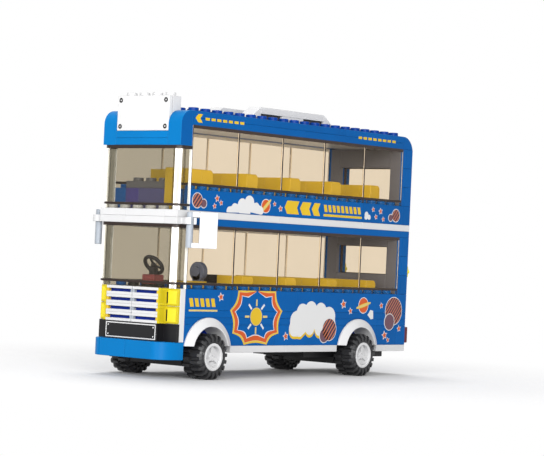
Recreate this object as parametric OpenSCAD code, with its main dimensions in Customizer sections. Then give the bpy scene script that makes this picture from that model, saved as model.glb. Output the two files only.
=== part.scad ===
// Toy double decker bus built from construction bricks.
// X runs forward, Y to the bus's left and Z up, in millimetres, with the ground at Z = 0.
// Modules are drawn from the front edge of the side windows (X = 0) and the underside
// of the sills (Z = 0); placed() moves them to the origin under the middle of the bus.

/* [Brick grid] */
// Distance between two studs
pitch = 8; // [6:0.1:12]
// Height of one plate
plate_h = 3.2; // [2.4:0.1:4.8]
// Radius of a stud
stud_r = 2.4; // [1.6:0.1:2.8]
// Height of a stud
stud_h = 1.7; // [1:0.1:2.4]

/* [Body] */
// Width of the body in studs
studs_wide = 6; // [5:1:10]
// Window panels along each side
bays = 5; // [4:1:8]
// Length of one window panel in studs
bay_studs = 4; // [4:1:6]
// Height of the lower side walls in plates
wall_plates = 8; // [7:1:12]
// Height of the lower windows in plates
lower_window_plates = 9; // [7:1:14]
// Height of the blue band under the upper windows in plates
band_plates = 3; // [2:1:6]
// Height of the upper windows in plates
upper_window_plates = 9; // [7:1:14]
// Thickness of the clear window panels
glass_t = 1.5; // [1:0.1:2.4]
// Radius of the upright corners of the windscreens
screen_corner_r = 4; // [3:0.5:6]

/* [Wheels] */
// Radius of the tyre
tyre_r = 10.4; // [8:0.1:13]
// Width of the tyre
tyre_w = 12; // [8:0.1:14.4]
// Radius of the hub inside the tyre
hub_r = 5.6; // [4.6:0.1:7]
// Radius of the wheel pins
pin_r = 2.4; // [1.6:0.1:3]
// Running gap between a pin and its hub
pin_gap = 0.05; // [0.02:0.01:0.1]
// Height of the sills' underside above the axles
axle_drop = 1.6; // [0:0.1:3.2]
// Gap between a tyre and its mudguard
arch_gap = 1.6; // [1:0.1:3]
// Thickness of a mudguard
arch_t = 4; // [2:0.5:6]
// Rear axle's distance ahead of the end of the side windows
rear_axle_inset = 32; // [28:1:48]

/* [Nose and tail] */
// Depth of the bumper ahead of the side windows
bumper_d = 12.8; // [10:0.2:18]
// Height of the bumper
bumper_h = 8; // [6:0.2:12]
// Height of the destination sign
sign_h = 16; // [12:1:24]
// Height of the seat backs above the upper deck in plates
seat_plates = 6; // [4:1:8]
// Height of the seat backs above the lower floor in plates
lower_seat_plates = 10; // [6:1:14]
// Distance from the body to the bar of a mirror
mirror_out = 4.2; // [3.6:0.1:8]
// Height of a mirror
mirror_h = 16; // [10:1:20]
// Length of the two roof rails in studs
hatch_studs = 8; // [6:1:12]
// Height of the roof rails
hatch_h = 6.4; // [5:0.2:9.6]

/* [Hidden] */

$fn = 48;
eps = 0.01;

// Plan sizes
half_w = studs_wide * pitch / 2;
inner_w = half_w - pitch;
bay_l = bay_studs * pitch;
side_l = bays * bay_l;
tail_x = -side_l - pitch;
nose_x = pitch;
fit_gap = 0.05;
panel_gap = 0.1;

// Heights above the underside of the sills
wall_z = plate_h;
sill_top_z = wall_z + wall_plates * plate_h;
deck_z = sill_top_z + lower_window_plates * plate_h;
stripe_z = deck_z + plate_h;
upper_z = stripe_z + plate_h;
upper_sill_z = upper_z + band_plates * plate_h;
roof_z = upper_sill_z + upper_window_plates * plate_h;
roof_top_z = roof_z + 2 * plate_h;
screen_top_z = upper_z + upper_window_plates * plate_h;

// Wheels and mudguards
ground_z = tyre_r + axle_drop;
arch_in_r = tyre_r + arch_gap;
arch_out_r = arch_in_r + arch_t;
arch_foot_z = plate_h;
front_axle_x = -arch_out_r;
rear_axle_x = rear_axle_inset - side_l;
axle_z = -axle_drop;
wheel_side_gap = 0.6;
tyre_in_y = inner_w + wheel_side_gap;
tyre_out_y = tyre_in_y + tyre_w;
hub_in_y = inner_w + wheel_side_gap / 2;
hub_out_y = tyre_out_y - 0.3;
hub_recess_r = hub_r - 1.1;
hub_recess_d = 1.8;
hub_web_t = 1.6;
pin_end_y = hub_out_y - hub_recess_d - hub_web_t;
tyre_shoulder = 1.2;
carrier_beam_d = 2 * pitch;
carrier_l = 2 * arch_out_r;
arch_rim_y = half_w + 1;
arch_lip_y = half_w + 2.7;
wheel_box_t = pitch;

// Nose
front_t = plate_h;
backing_t = plate_h;
grille_x = front_t + backing_t;
grille_t = plate_h;
grille_out_x = grille_x + grille_t;
bumper_top_z = bumper_h - plate_h;
badge_h = pitch;
badge_top_z = bumper_top_z + badge_h;
lamp_t = 2;
lamp_wall_t = 1.2;
plate_t = 1.6;
slot_rows = 4;
slot_h = 1.7;
slot_d = 2;
slot_end = 1.3;

// Steering wheel
wheel_ring_r = 5.6;
wheel_ring_t = 0.9;
wheel_tilt = -50;
wheel_x = -pitch / 2;
wheel_y = (studs_wide % 2) * pitch / 2;
wheel_z = sill_top_z + 10;
column_w = 3.2;

// Roof, sign and hatch
roof_plate_z = screen_top_z + plate_h;
sign_z = roof_plate_z + plate_h;
corner_round_r = 6.4;
sign_t = 2.4;
tail_round_r = 8;
hatch_w = 4 * pitch;
hatch_l = hatch_studs * pitch;
hatch_rail_w = pitch;
hatch_front_x = -6 * pitch;
hatch_slope = pitch;
hatch_gap_h = plate_h;
vent_l = 2 * pitch;
vent_inset = 1.4;

// Seats
seat_t = pitch;
seat_l = 2 * pitch;
cushion_plates = 3;
lower_cushion_plates = 6;
seat_round_r = 2;
box_plates = 4;
driver_x = -2 * pitch;
driver_w = min(pitch, inner_w - wheel_box_t);
driver_top_z = sill_top_z + plate_h;
backrest_r = 4.5;
backrest_t = plate_h;

// Mirrors
bar_r = 1.6;
clip_r = bar_r + 1.3;
mirror_bar_y = half_w + mirror_out;
mirror_bar_x = nose_x / 2;
mirror_low_z = deck_z + 1.75 * plate_h - mirror_h;
mirror_in = 4.3;
mirror_w = pitch;
mirror_t = plate_h;
arm_t = 2.4;

// Tail
lamp_r = 3.9;
lamp_out = 3.2;
lamp_z = sill_top_z + 11.6;
marker_t = 2.4;
marker_h = 8;
tail_window_z = sill_top_z + 3 * plate_h;
tail_window_h = lower_window_plates * plate_h / 2;
pane_t = 2;

// The middle of the bus lies over the origin
x_shift = -(bumper_d + tail_x - lamp_out) / 2;

module placed() {
    translate([x_shift, 0, ground_z]) children();
}

// A box between two corners given by ranges
module block(x, y, z) {
    translate([x[0], y[0], z[0]]) cube([x[1] - x[0], y[1] - y[0], z[1] - z[0]]);
}

// The same piece on both sides of the bus
module both_sides() {
    children();
    mirror([0, 1, 0]) children();
}

module stud(x, y, z) {
    translate([x, y, z]) cylinder(r = stud_r, h = stud_h, $fn = 24);
}

// A row of studs across the bus
module stud_row(x, z, count) {
    for (i = [0 : count - 1]) {
        stud(x, (i - (count - 1) / 2) * pitch, z);
    }
}

// A cylinder along Y between two distances from the middle
module y_cylinder(x, z, r, y0, y1) {
    translate([x, y1, z]) rotate([90, 0, 0]) cylinder(r = r, h = y1 - y0);
}

// A revolved piece whose axis lies along Y; its outline is drawn as [radius, y]
module y_turned(x, z, points) {
    translate([x, 0, z]) rotate([-90, 0, 0]) rotate_extrude($fn = 96) polygon(points);
}

/* Axles and wheels */

module axle_carrier(axle_x, front_x, rear_x) {
    color([0.07, 0.07, 0.08]) placed() {
        block([rear_x, front_x], [-inner_w, inner_w], [-plate_h, 0]);
        block([axle_x - carrier_beam_d / 2, axle_x + carrier_beam_d / 2],
              [-inner_w, inner_w], [-2 * plate_h, -plate_h + eps]);
        both_sides() y_cylinder(axle_x, axle_z, pin_r, inner_w, pin_end_y);
    }
}

module front_axle_carrier() {
    axle_carrier(front_axle_x, 0, -carrier_l);
}

module rear_axle_carrier() {
    axle_carrier(rear_axle_x, rear_axle_x + carrier_l, -side_l);
}

module hub(axle_x) {
    color([0.95, 0.95, 0.93]) placed() {
        difference() {
            y_cylinder(axle_x, axle_z, hub_r, hub_in_y, hub_out_y);
            y_cylinder(axle_x, axle_z, pin_r + pin_gap, hub_in_y - 1, pin_end_y + fit_gap);
            difference() {
                y_cylinder(axle_x, axle_z, hub_recess_r, hub_out_y - hub_recess_d, hub_out_y + 1);
                y_cylinder(axle_x, axle_z, pin_r / 2, hub_out_y - hub_recess_d - 1, hub_out_y + 2);
            }
        }
    }
}

module tyre(axle_x) {
    color([0.1, 0.1, 0.11]) placed() {
        y_turned(axle_x, axle_z, [
            [hub_r + fit_gap, tyre_in_y],
            [tyre_r - tyre_shoulder, tyre_in_y],
            [tyre_r, tyre_in_y + tyre_shoulder],
            [tyre_r, tyre_out_y - tyre_shoulder],
            [tyre_r - tyre_shoulder, tyre_out_y],
            [hub_r + fit_gap, tyre_out_y]
        ]);
    }
}

module front_left_hub() { hub(front_axle_x); }
module front_right_hub() { mirror([0, 1, 0]) hub(front_axle_x); }
module rear_left_hub() { hub(rear_axle_x); }
module rear_right_hub() { mirror([0, 1, 0]) hub(rear_axle_x); }
module front_left_tyre() { tyre(front_axle_x); }
module front_right_tyre() { mirror([0, 1, 0]) tyre(front_axle_x); }
module rear_left_tyre() { tyre(rear_axle_x); }
module rear_right_tyre() { mirror([0, 1, 0]) tyre(rear_axle_x); }

/* Lower body */

module floor_plate() {
    color([0.05, 0.1, 0.3]) placed() {
        block([-side_l, 0], [-inner_w, inner_w], [0, plate_h]);
    }
}

module side_sills() {
    mid_front = front_axle_x - arch_out_r;
    mid_rear = rear_axle_x + arch_out_r;
    color([0.95, 0.95, 0.95]) placed() {
        both_sides() block([mid_rear, mid_front], [inner_w, half_w], [0, plate_h]);
        both_sides() block([tail_x, rear_axle_x - arch_out_r], [inner_w, half_w], [0, plate_h]);
        block([tail_x, -side_l], [-inner_w - eps, inner_w + eps], [0, plate_h]);
    }
}

module lower_wall() {
    color([0, 0.38, 0.69]) placed() {
        difference() {
            block([-side_l, 0], [inner_w, half_w], [wall_z, sill_top_z]);
            for (x = [front_axle_x, rear_axle_x]) {
                y_cylinder(x, 0, arch_out_r + fit_gap, inner_w - 1, half_w + 1, $fn = 96);
            }
        }
    }
}

module left_lower_wall() { lower_wall(); }
module right_lower_wall() { mirror([0, 1, 0]) lower_wall(); }

module mudguard(axle_x) {
    intersection() {
        y_turned(axle_x, 0, [
            [arch_in_r, inner_w],
            [arch_out_r, inner_w],
            [arch_out_r, arch_rim_y],
            [arch_in_r, arch_lip_y]
        ]);
        block([axle_x - 2 * arch_out_r, axle_x + 2 * arch_out_r],
              [0, 2 * half_w], [arch_foot_z, 2 * arch_out_r]);
    }
}

module front_mudguards() {
    color([0.95, 0.95, 0.95]) placed() both_sides() mudguard(front_axle_x);
}

module rear_mudguards() {
    color([0.95, 0.95, 0.95]) placed() both_sides() mudguard(rear_axle_x);
}

module wheel_boxes() {
    color([0.05, 0.1, 0.3]) placed() {
        for (x = [front_axle_x, rear_axle_x]) {
            both_sides() block([x - arch_out_r, x + arch_out_r],
                               [inner_w - wheel_box_t, inner_w], [plate_h, arch_out_r]);
        }
    }
}

/* Nose */

module front_panel() {
    color([0.95, 0.95, 0.95]) placed() {
        block([0, front_t], [-half_w, half_w], [bumper_top_z, sill_top_z]);
    }
}

module grille_backing() {
    color([0.9, 0.8, 0.15]) placed() {
        block([front_t, grille_x], [-inner_w, inner_w], [badge_top_z, sill_top_z]);
    }
}

module grille() {
    row_h = (sill_top_z - badge_top_z) / slot_rows;
    color([0.95, 0.95, 0.95]) placed() {
        difference() {
            block([grille_x, grille_out_x], [-inner_w, inner_w], [badge_top_z, sill_top_z]);
            for (side = [-1, 1], i = [0 : slot_rows - 1]) {
                mid_y = side * inner_w / 2;
                low_z = badge_top_z + (i + 0.5) * row_h - slot_h / 2;
                block([grille_out_x - slot_d, grille_out_x + 1],
                      [mid_y - inner_w / 2 + slot_end, mid_y + inner_w / 2 - slot_end],
                      [low_z, low_z + slot_h]);
            }
        }
    }
}

module headlights() {
    unit_h = (sill_top_z - badge_top_z) / 2;
    color([0.94, 0.85, 0.2]) placed() {
        both_sides() for (i = [0, 1]) {
            low_z = badge_top_z + i * unit_h + panel_gap / 2;
            high_z = low_z + unit_h - panel_gap;
            block([front_t, front_t + lamp_t], [inner_w, half_w], [low_z, high_z]);
            block([front_t + lamp_t - eps, grille_out_x],
                  [inner_w, inner_w + lamp_wall_t], [low_z, high_z]);
        }
    }
}

module plate_carrier() {
    color([0.07, 0.07, 0.08]) placed() {
        block([front_t, grille_out_x - plate_t], [-inner_w, inner_w], [bumper_top_z, badge_top_z]);
        block([front_t, front_t + lamp_t], [-half_w, half_w], [bumper_top_z, badge_top_z]);
    }
}

module number_plate() {
    color([0.05, 0.05, 0.05]) placed() {
        block([grille_out_x - plate_t, grille_out_x],
              [-inner_w, inner_w], [bumper_top_z, badge_top_z]);
    }
}

// A quarter ellipse at each front corner runs back to the side windows' front edge
module bumper() {
    corner_w = half_w - inner_w;
    steps = 16;
    quarter = [for (i = [0 : steps])
        [bumper_d * cos(90 * i / steps), inner_w + corner_w * sin(90 * i / steps)]];
    far_quarter = [for (i = [steps : -1 : 0]) [quarter[i][0], -quarter[i][1]]];
    color([0, 0.51, 0.8]) placed() {
        translate([0, 0, -plate_h]) linear_extrude(bumper_h) polygon(concat(quarter, far_quarter));
    }
}

module dashboard() {
    color([0.12, 0.1, 0.1]) placed() {
        block([-pitch, 0], [-inner_w + wheel_box_t, inner_w - wheel_box_t],
              [plate_h, arch_out_r + eps]);
        block([-pitch, 0], [-inner_w, inner_w], [arch_out_r, sill_top_z]);
        stud_row(-pitch / 2, sill_top_z - eps, studs_wide - 2);
    }
}

module steering_wheel() {
    color([0.2, 0.2, 0.22]) placed() {
        translate([wheel_x, wheel_y, wheel_z]) rotate([0, wheel_tilt, 0]) {
            rotate_extrude() translate([wheel_ring_r - wheel_ring_t, 0]) circle(r = wheel_ring_t);
            cylinder(r = wheel_ring_r - wheel_ring_t, h = wheel_ring_t, center = true);
        }
        block([wheel_x - column_w / 2, wheel_x + column_w / 2],
              [wheel_y - column_w / 2, wheel_y + column_w / 2], [sill_top_z, wheel_z]);
    }
}

// Outline of a piece with its two front corners rounded, open towards the back
module screen_outline() {
    difference() {
        rounded_nose(nose_x, half_w, screen_corner_r);
        translate([-glass_t, 0]) rounded_nose(nose_x, half_w - glass_t, screen_corner_r - glass_t);
    }
}

module rounded_nose(length, half, r) {
    translate([0, -half]) square([length - r, 2 * half]);
    translate([0, -half + r]) square([length, 2 * (half - r)]);
    for (side = [-1, 1]) {
        translate([length - r, side * (half - r)]) circle(r = r);
    }
}

module lower_windscreen() {
    color([0.75, 0.68, 0.58, 0.4]) placed() {
        translate([0, 0, sill_top_z]) linear_extrude(deck_z - sill_top_z) screen_outline();
    }
}

module upper_windscreen() {
    color([0.75, 0.68, 0.58, 0.4]) placed() {
        translate([0, 0, upper_z]) linear_extrude(screen_top_z - upper_z) screen_outline();
    }
}

/* Side windows: each panel is a clear sheet with an upright return at both ends */

module window_row(low_z, high_z) {
    color([0.75, 0.68, 0.58, 0.4]) placed() {
        for (i = [0 : bays - 1]) {
            front_x = -i * bay_l - panel_gap / 2;
            rear_x = -(i + 1) * bay_l + panel_gap / 2;
            block([rear_x, front_x], [half_w - glass_t, half_w], [low_z, high_z]);
            block([rear_x, rear_x + glass_t], [inner_w, half_w], [low_z, high_z]);
            block([front_x - glass_t, front_x], [inner_w, half_w], [low_z, high_z]);
        }
    }
}

module left_lower_windows() { window_row(sill_top_z, deck_z); }
module right_lower_windows() { mirror([0, 1, 0]) window_row(sill_top_z, deck_z); }
module left_upper_windows() { window_row(upper_sill_z, roof_z); }
module right_upper_windows() { mirror([0, 1, 0]) window_row(upper_sill_z, roof_z); }

/* Middle bands */

module deck_plate() {
    color([0, 0.38, 0.69]) placed() {
        block([tail_x, 0], [-half_w, half_w], [deck_z, stripe_z]);
    }
}

module deck_stripe() {
    color([0.95, 0.95, 0.95]) placed() {
        block([tail_x, 0], [-half_w, half_w], [stripe_z, upper_z]);
    }
}

module clip() {
    difference() {
        union() {
            translate([mirror_bar_x, mirror_bar_y, deck_z]) cylinder(r = clip_r, h = plate_h);
            block([mirror_bar_x - bar_r, mirror_bar_x + bar_r],
                  [half_w - 1, mirror_bar_y], [deck_z, stripe_z]);
        }
        translate([mirror_bar_x, mirror_bar_y, deck_z - 1]) cylinder(r = bar_r + fit_gap, h = plate_h + 2);
        block([mirror_bar_x - bar_r, mirror_bar_x + bar_r],
              [mirror_bar_y, mirror_bar_y + 2 * clip_r], [deck_z - 1, stripe_z + 1]);
    }
}

module front_band() {
    color([0.95, 0.95, 0.95]) placed() {
        block([0, nose_x], [-half_w, half_w], [deck_z, upper_z]);
        both_sides() clip();
        stud_row(nose_x / 2, upper_z - eps, studs_wide);
    }
}

module upper_bands() {
    color([0, 0.38, 0.69]) placed() {
        both_sides() block([-side_l, 0], [inner_w, half_w], [upper_z, upper_sill_z]);
    }
}

/* Tail */

module rear_wall_lower() {
    color([0, 0.38, 0.69]) placed() {
        difference() {
            block([tail_x, -side_l], [-half_w, half_w], [wall_z, deck_z]);
            block([tail_x - 1, -side_l + 1], [-inner_w, inner_w],
                  [tail_window_z, tail_window_z + tail_window_h]);
        }
    }
}

module rear_wall_upper() {
    color([0, 0.38, 0.69]) placed() {
        difference() {
            block([tail_x, -side_l], [-half_w, half_w], [upper_z, roof_z]);
            block([tail_x - 1, -side_l + 1], [-inner_w, inner_w],
                  [upper_sill_z, roof_z - 3 * plate_h]);
        }
    }
}

module rear_windows() {
    mid_x = tail_x + pitch / 2;
    color([0.75, 0.68, 0.58, 0.4]) placed() {
        block([mid_x - pane_t / 2, mid_x + pane_t / 2], [-inner_w, inner_w],
              [tail_window_z, tail_window_z + tail_window_h]);
        block([mid_x - pane_t / 2, mid_x + pane_t / 2], [-inner_w, inner_w],
              [upper_sill_z, roof_z - 3 * plate_h]);
    }
}

module rear_lamps() {
    color([0.94, 0.85, 0.2]) placed() {
        both_sides() translate([tail_x - lamp_out, half_w - pitch / 2, lamp_z])
            rotate([0, 90, 0]) cylinder(r = lamp_r, h = lamp_out);
    }
}

module tail_markers() {
    color([0.45, 0.05, 0.07]) placed() {
        both_sides() block([tail_x - marker_t, tail_x], [inner_w, half_w],
                           [wall_z + 1, wall_z + 1 + marker_h]);
    }
}

/* Roof */

module roof_slab() {
    difference() {
        block([tail_x, 0], [-half_w, half_w], [roof_z, roof_top_z]);
        difference() {
            block([tail_x - 1, tail_x + tail_round_r], [-half_w - 1, half_w + 1],
                  [roof_top_z - tail_round_r, roof_top_z + 1]);
            y_cylinder(tail_x + tail_round_r, roof_top_z - tail_round_r, tail_round_r,
                       -half_w - 2, half_w + 2);
        }
    }
}

function under_hatch(x, y) =
    x < hatch_front_x + stud_r && x > hatch_front_x - hatch_l - stud_r
    && abs(y) < hatch_w / 2 + stud_r && abs(y) > hatch_w / 2 - hatch_rail_w - stud_r;

module roof() {
    color([0, 0.35, 0.65]) placed() {
        roof_slab();
        for (i = [0 : bays * bay_studs - 1], j = [0 : studs_wide - 1]) {
            x = -(i + 0.5) * pitch;
            y = (j - (studs_wide - 1) / 2) * pitch;
            if (!under_hatch(x, y)) stud(x, y, roof_top_z - eps);
        }
    }
}

// A corner column of the roof front with its front upper edge rounded
module roof_corner() {
    difference() {
        block([0, nose_x], [inner_w, half_w], [screen_top_z, roof_top_z]);
        difference() {
            block([nose_x - corner_round_r, nose_x + 1], [inner_w - 1, half_w + 1],
                  [roof_top_z - corner_round_r, roof_top_z + 1]);
            y_cylinder(nose_x - corner_round_r, roof_top_z - corner_round_r, corner_round_r,
                       inner_w - 2, half_w + 2);
        }
    }
}

module roof_front() {
    color([0, 0.51, 0.8]) placed() {
        block([0, nose_x], [-inner_w, inner_w], [screen_top_z, sign_z]);
        both_sides() roof_corner();
    }
}

module sign_backing() {
    color([0.95, 0.95, 0.95]) placed() {
        block([0, nose_x - sign_t], [-inner_w, inner_w], [sign_z, sign_z + sign_h]);
        stud_row((nose_x - sign_t) / 2, sign_z + sign_h - eps, studs_wide - 2);
    }
}

module sign_board() {
    color([0.97, 0.97, 0.97]) placed() {
        block([nose_x - sign_t, nose_x], [-inner_w, inner_w], [sign_z, sign_z + sign_h]);
    }
}

// Start of each dark vent under a rail, measured forward from the rail's rear end
vent_starts = [hatch_slope, hatch_l - hatch_slope - vent_l];

// Side view of a roof rail, sloped at both ends
module hatch_outline() {
    rear_x = hatch_front_x - hatch_l;
    polygon([
        [rear_x, 0],
        [hatch_front_x, 0],
        [hatch_front_x, 0.8],
        [hatch_front_x - hatch_slope, hatch_h],
        [rear_x + hatch_slope, hatch_h],
        [rear_x, 0.8]
    ]);
}

module roof_hatch() {
    color([0.93, 0.93, 0.93]) placed() {
        difference() {
            both_sides() translate([0, hatch_w / 2, roof_top_z]) rotate([90, 0, 0])
                linear_extrude(hatch_rail_w) hatch_outline();
            for (start = vent_starts) {
                block([hatch_front_x - hatch_l + start, hatch_front_x - hatch_l + start + vent_l],
                      [-hatch_w, hatch_w], [roof_top_z - 1, roof_top_z + hatch_gap_h]);
            }
        }
    }
}

module roof_vents() {
    color([0.3, 0.3, 0.32]) placed() {
        for (start = vent_starts) {
            both_sides() block([hatch_front_x - hatch_l + start, hatch_front_x - hatch_l + start + vent_l],
                               [hatch_w / 2 - hatch_rail_w + vent_inset, hatch_w / 2 - vent_inset],
                               [roof_top_z, roof_top_z + hatch_gap_h]);
        }
    }
}

/* Inside */

// A bench across the bus: a seat block with a back behind it, its upper rear edge rounded
module bench(rear_x, floor_z, back_h, cushion_h) {
    difference() {
        block([rear_x, rear_x + seat_t], [-inner_w, inner_w], [floor_z, floor_z + back_h]);
        difference() {
            block([rear_x - 1, rear_x + seat_round_r], [-inner_w - 1, inner_w + 1],
                  [floor_z + back_h - seat_round_r, floor_z + back_h + 1]);
            y_cylinder(rear_x + seat_round_r, floor_z + back_h - seat_round_r, seat_round_r,
                       -inner_w - 2, inner_w + 2);
        }
    }
    block([rear_x + seat_t - eps, rear_x + seat_l], [-inner_w, inner_w], [floor_z, floor_z + cushion_h]);
}

// The first lower bench fills only the left of the aisle; those by the wheels stand between the boxes
module lower_seats() {
    color([0.87, 0.71, 0.2]) placed() {
        for (i = [1 : bays - 1]) {
            rear_x = -(i + 1) * bay_l + pitch;
            half = (abs(rear_x - rear_axle_x) < arch_out_r + seat_l) ? inner_w - wheel_box_t : inner_w;
            right_y = (i == 1) ? 0 : -inner_w;
            intersection() {
                bench(rear_x, plate_h, lower_seat_plates * plate_h, lower_cushion_plates * plate_h);
                union() {
                    block([-side_l, 0], [max(-half, right_y), half], [0, deck_z]);
                    block([-side_l, 0], [right_y, inner_w], [arch_out_r, deck_z]);
                }
            }
        }
    }
}

module aisle_block() {
    rear_x = -2 * bay_l + pitch;
    color([0.07, 0.07, 0.08]) placed() {
        block([rear_x, rear_x + seat_t], [-pitch, 0],
              [plate_h, lower_seat_plates * plate_h + plate_h]);
    }
}

module upper_seats() {
    color([0.87, 0.71, 0.2]) placed() {
        for (i = [0 : bays - 1]) {
            rear_x = -(i + 1) * bay_l + pitch;
            bench(rear_x, upper_z, seat_plates * plate_h, cushion_plates * plate_h);
        }
        block([-seat_l + eps, 0], [inner_w - pitch, inner_w], [upper_z, upper_z + seat_plates * plate_h]);
    }
}

module deck_box() {
    color([0.13, 0.13, 0.4]) placed() {
        block([-pitch, 0], [-inner_w, inner_w - pitch], [upper_z, upper_z + box_plates * plate_h]);
        for (y = [-inner_w + pitch / 2 : pitch : inner_w - pitch]) {
            stud(-pitch / 2, y, upper_z + box_plates * plate_h - eps);
        }
    }
}

module driver_seat() {
    color([0.87, 0.71, 0.2]) placed() {
        block([driver_x - seat_l, driver_x], [0, driver_w], [plate_h, driver_top_z]);
    }
}

// A round plate on edge, standing in a flat foot at the rear of the driver's seat
module driver_backrest() {
    back_x = driver_x - seat_l;
    color([0.2, 0.23, 0.3]) placed() {
        translate([back_x, driver_w / 2, driver_top_z + backrest_r])
            rotate([0, 90, 0]) cylinder(r = backrest_r, h = backrest_t);
        block([back_x, back_x + backrest_t], [driver_w / 2 - stud_r, driver_w / 2 + stud_r],
              [driver_top_z, driver_top_z + backrest_r]);
    }
}

/* Mirrors: a bar in the front band's clip carries the mirror on two arms */

module mirror_piece() {
    color([0.95, 0.95, 0.95]) placed() {
        translate([mirror_bar_x, mirror_bar_y, mirror_low_z]) {
            cylinder(r = bar_r, h = mirror_h);
            rotate([0, 0, 135]) {
                for (z = [0, mirror_h - arm_t]) {
                    block([0, mirror_in + eps], [-mirror_t / 2, mirror_t / 2], [z, z + arm_t]);
                }
                block([mirror_in, mirror_in + mirror_w], [-mirror_t / 2, mirror_t / 2], [0, mirror_h]);
            }
        }
    }
}

module left_mirror() { mirror_piece(); }
module right_mirror() { mirror([0, 1, 0]) mirror_piece(); }

front_axle_carrier();
rear_axle_carrier();
front_left_hub();
front_right_hub();
rear_left_hub();
rear_right_hub();
front_left_tyre();
front_right_tyre();
rear_left_tyre();
rear_right_tyre();
floor_plate();
side_sills();
left_lower_wall();
right_lower_wall();
front_mudguards();
rear_mudguards();
wheel_boxes();
front_panel();
grille();
grille_backing();
headlights();
plate_carrier();
number_plate();
bumper();
dashboard();
steering_wheel();
lower_windscreen();
upper_windscreen();
left_lower_windows();
right_lower_windows();
left_upper_windows();
right_upper_windows();
deck_plate();
deck_stripe();
front_band();
upper_bands();
rear_wall_lower();
rear_wall_upper();
rear_windows();
rear_lamps();
tail_markers();
roof();
roof_front();
sign_board();
sign_backing();
roof_hatch();
roof_vents();
lower_seats();
upper_seats();
deck_box();
aisle_block();
driver_seat();
driver_backrest();
left_mirror();
right_mirror();
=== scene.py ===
"""Looks of a toy double decker bus of construction bricks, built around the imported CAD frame.

Lengths are millimetres in the bus's own grid: X forward from the front edge of the side
windows, Y to the bus's left, Z up from the underside of the sills. Sculpt.build() moves each
piece to the row frame in metres.
"""

import math
import random

import bpy
import numpy as np
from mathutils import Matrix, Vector


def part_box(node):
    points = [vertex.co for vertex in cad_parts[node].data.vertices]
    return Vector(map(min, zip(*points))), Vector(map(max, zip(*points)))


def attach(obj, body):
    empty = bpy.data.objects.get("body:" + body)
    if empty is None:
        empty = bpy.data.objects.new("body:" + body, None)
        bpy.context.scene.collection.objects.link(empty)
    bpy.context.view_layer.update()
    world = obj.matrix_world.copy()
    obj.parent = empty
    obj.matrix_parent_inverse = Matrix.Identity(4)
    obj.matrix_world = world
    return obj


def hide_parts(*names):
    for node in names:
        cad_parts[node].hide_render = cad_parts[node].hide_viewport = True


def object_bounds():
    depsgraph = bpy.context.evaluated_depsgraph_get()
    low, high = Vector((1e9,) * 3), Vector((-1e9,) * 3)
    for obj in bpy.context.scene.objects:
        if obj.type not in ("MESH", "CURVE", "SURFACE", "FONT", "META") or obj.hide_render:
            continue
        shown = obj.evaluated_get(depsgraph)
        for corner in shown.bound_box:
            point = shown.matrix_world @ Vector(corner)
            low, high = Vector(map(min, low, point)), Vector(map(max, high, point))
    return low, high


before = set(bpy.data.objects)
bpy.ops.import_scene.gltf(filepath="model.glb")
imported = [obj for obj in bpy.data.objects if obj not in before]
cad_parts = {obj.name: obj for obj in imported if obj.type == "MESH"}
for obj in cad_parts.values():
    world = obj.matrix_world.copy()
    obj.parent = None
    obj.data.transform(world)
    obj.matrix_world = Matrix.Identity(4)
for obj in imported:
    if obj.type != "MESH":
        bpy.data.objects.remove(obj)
cad_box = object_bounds()
random.seed(5)

MM = 0.001

# ---------------------------------------------------------------- the grid and its sizes

ORIGIN = np.array([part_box("left_lower_wall")[1].x, 0.0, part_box("side_sills")[0].z])


def span(node):
    """Lowest and highest corner of a CAD node, in millimetres in the grid."""
    low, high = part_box(node)
    return (np.array(low) - ORIGIN) / MM, (np.array(high) - ORIGIN) / MM


WALL_LOW, WALL_HIGH = span("left_lower_wall")
DECK_LOW = span("deck_plate")[0]
STRIPE_LOW, STRIPE_HIGH = span("deck_stripe")
ROOF_LOW, ROOF_HIGH = span("roof")
HALF_W = WALL_HIGH[1]
INNER_W = WALL_LOW[1]
PITCH = HALF_W - INNER_W
PLATE = STRIPE_HIGH[2] - STRIPE_LOW[2]
STUD_R = 0.3 * PITCH
STUD_H = 1.7
SIDE_L = -WALL_LOW[0]
TAIL_X = DECK_LOW[0]
NOSE_X = span("front_band")[1][0]
BAYS = 5
BAY = SIDE_L / BAYS
SILL_TOP = WALL_HIGH[2]
DECK_Z = DECK_LOW[2]
STRIPE_Z = STRIPE_LOW[2]
UPPER_Z = STRIPE_HIGH[2]
BAND_TOP = span("upper_bands")[1][2]
ROOF_Z = ROOF_LOW[2]
ROOF_TOP = ROOF_HIGH[2] - STUD_H + 0.01
EDGE = 0.16


# ---------------------------------------------------------------- mesh code

def unit(v):
    length = math.sqrt(sum(c * c for c in v))
    return tuple(c / length for c in v) if length > 1e-12 else (0.0, 0.0, 1.0)


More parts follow.
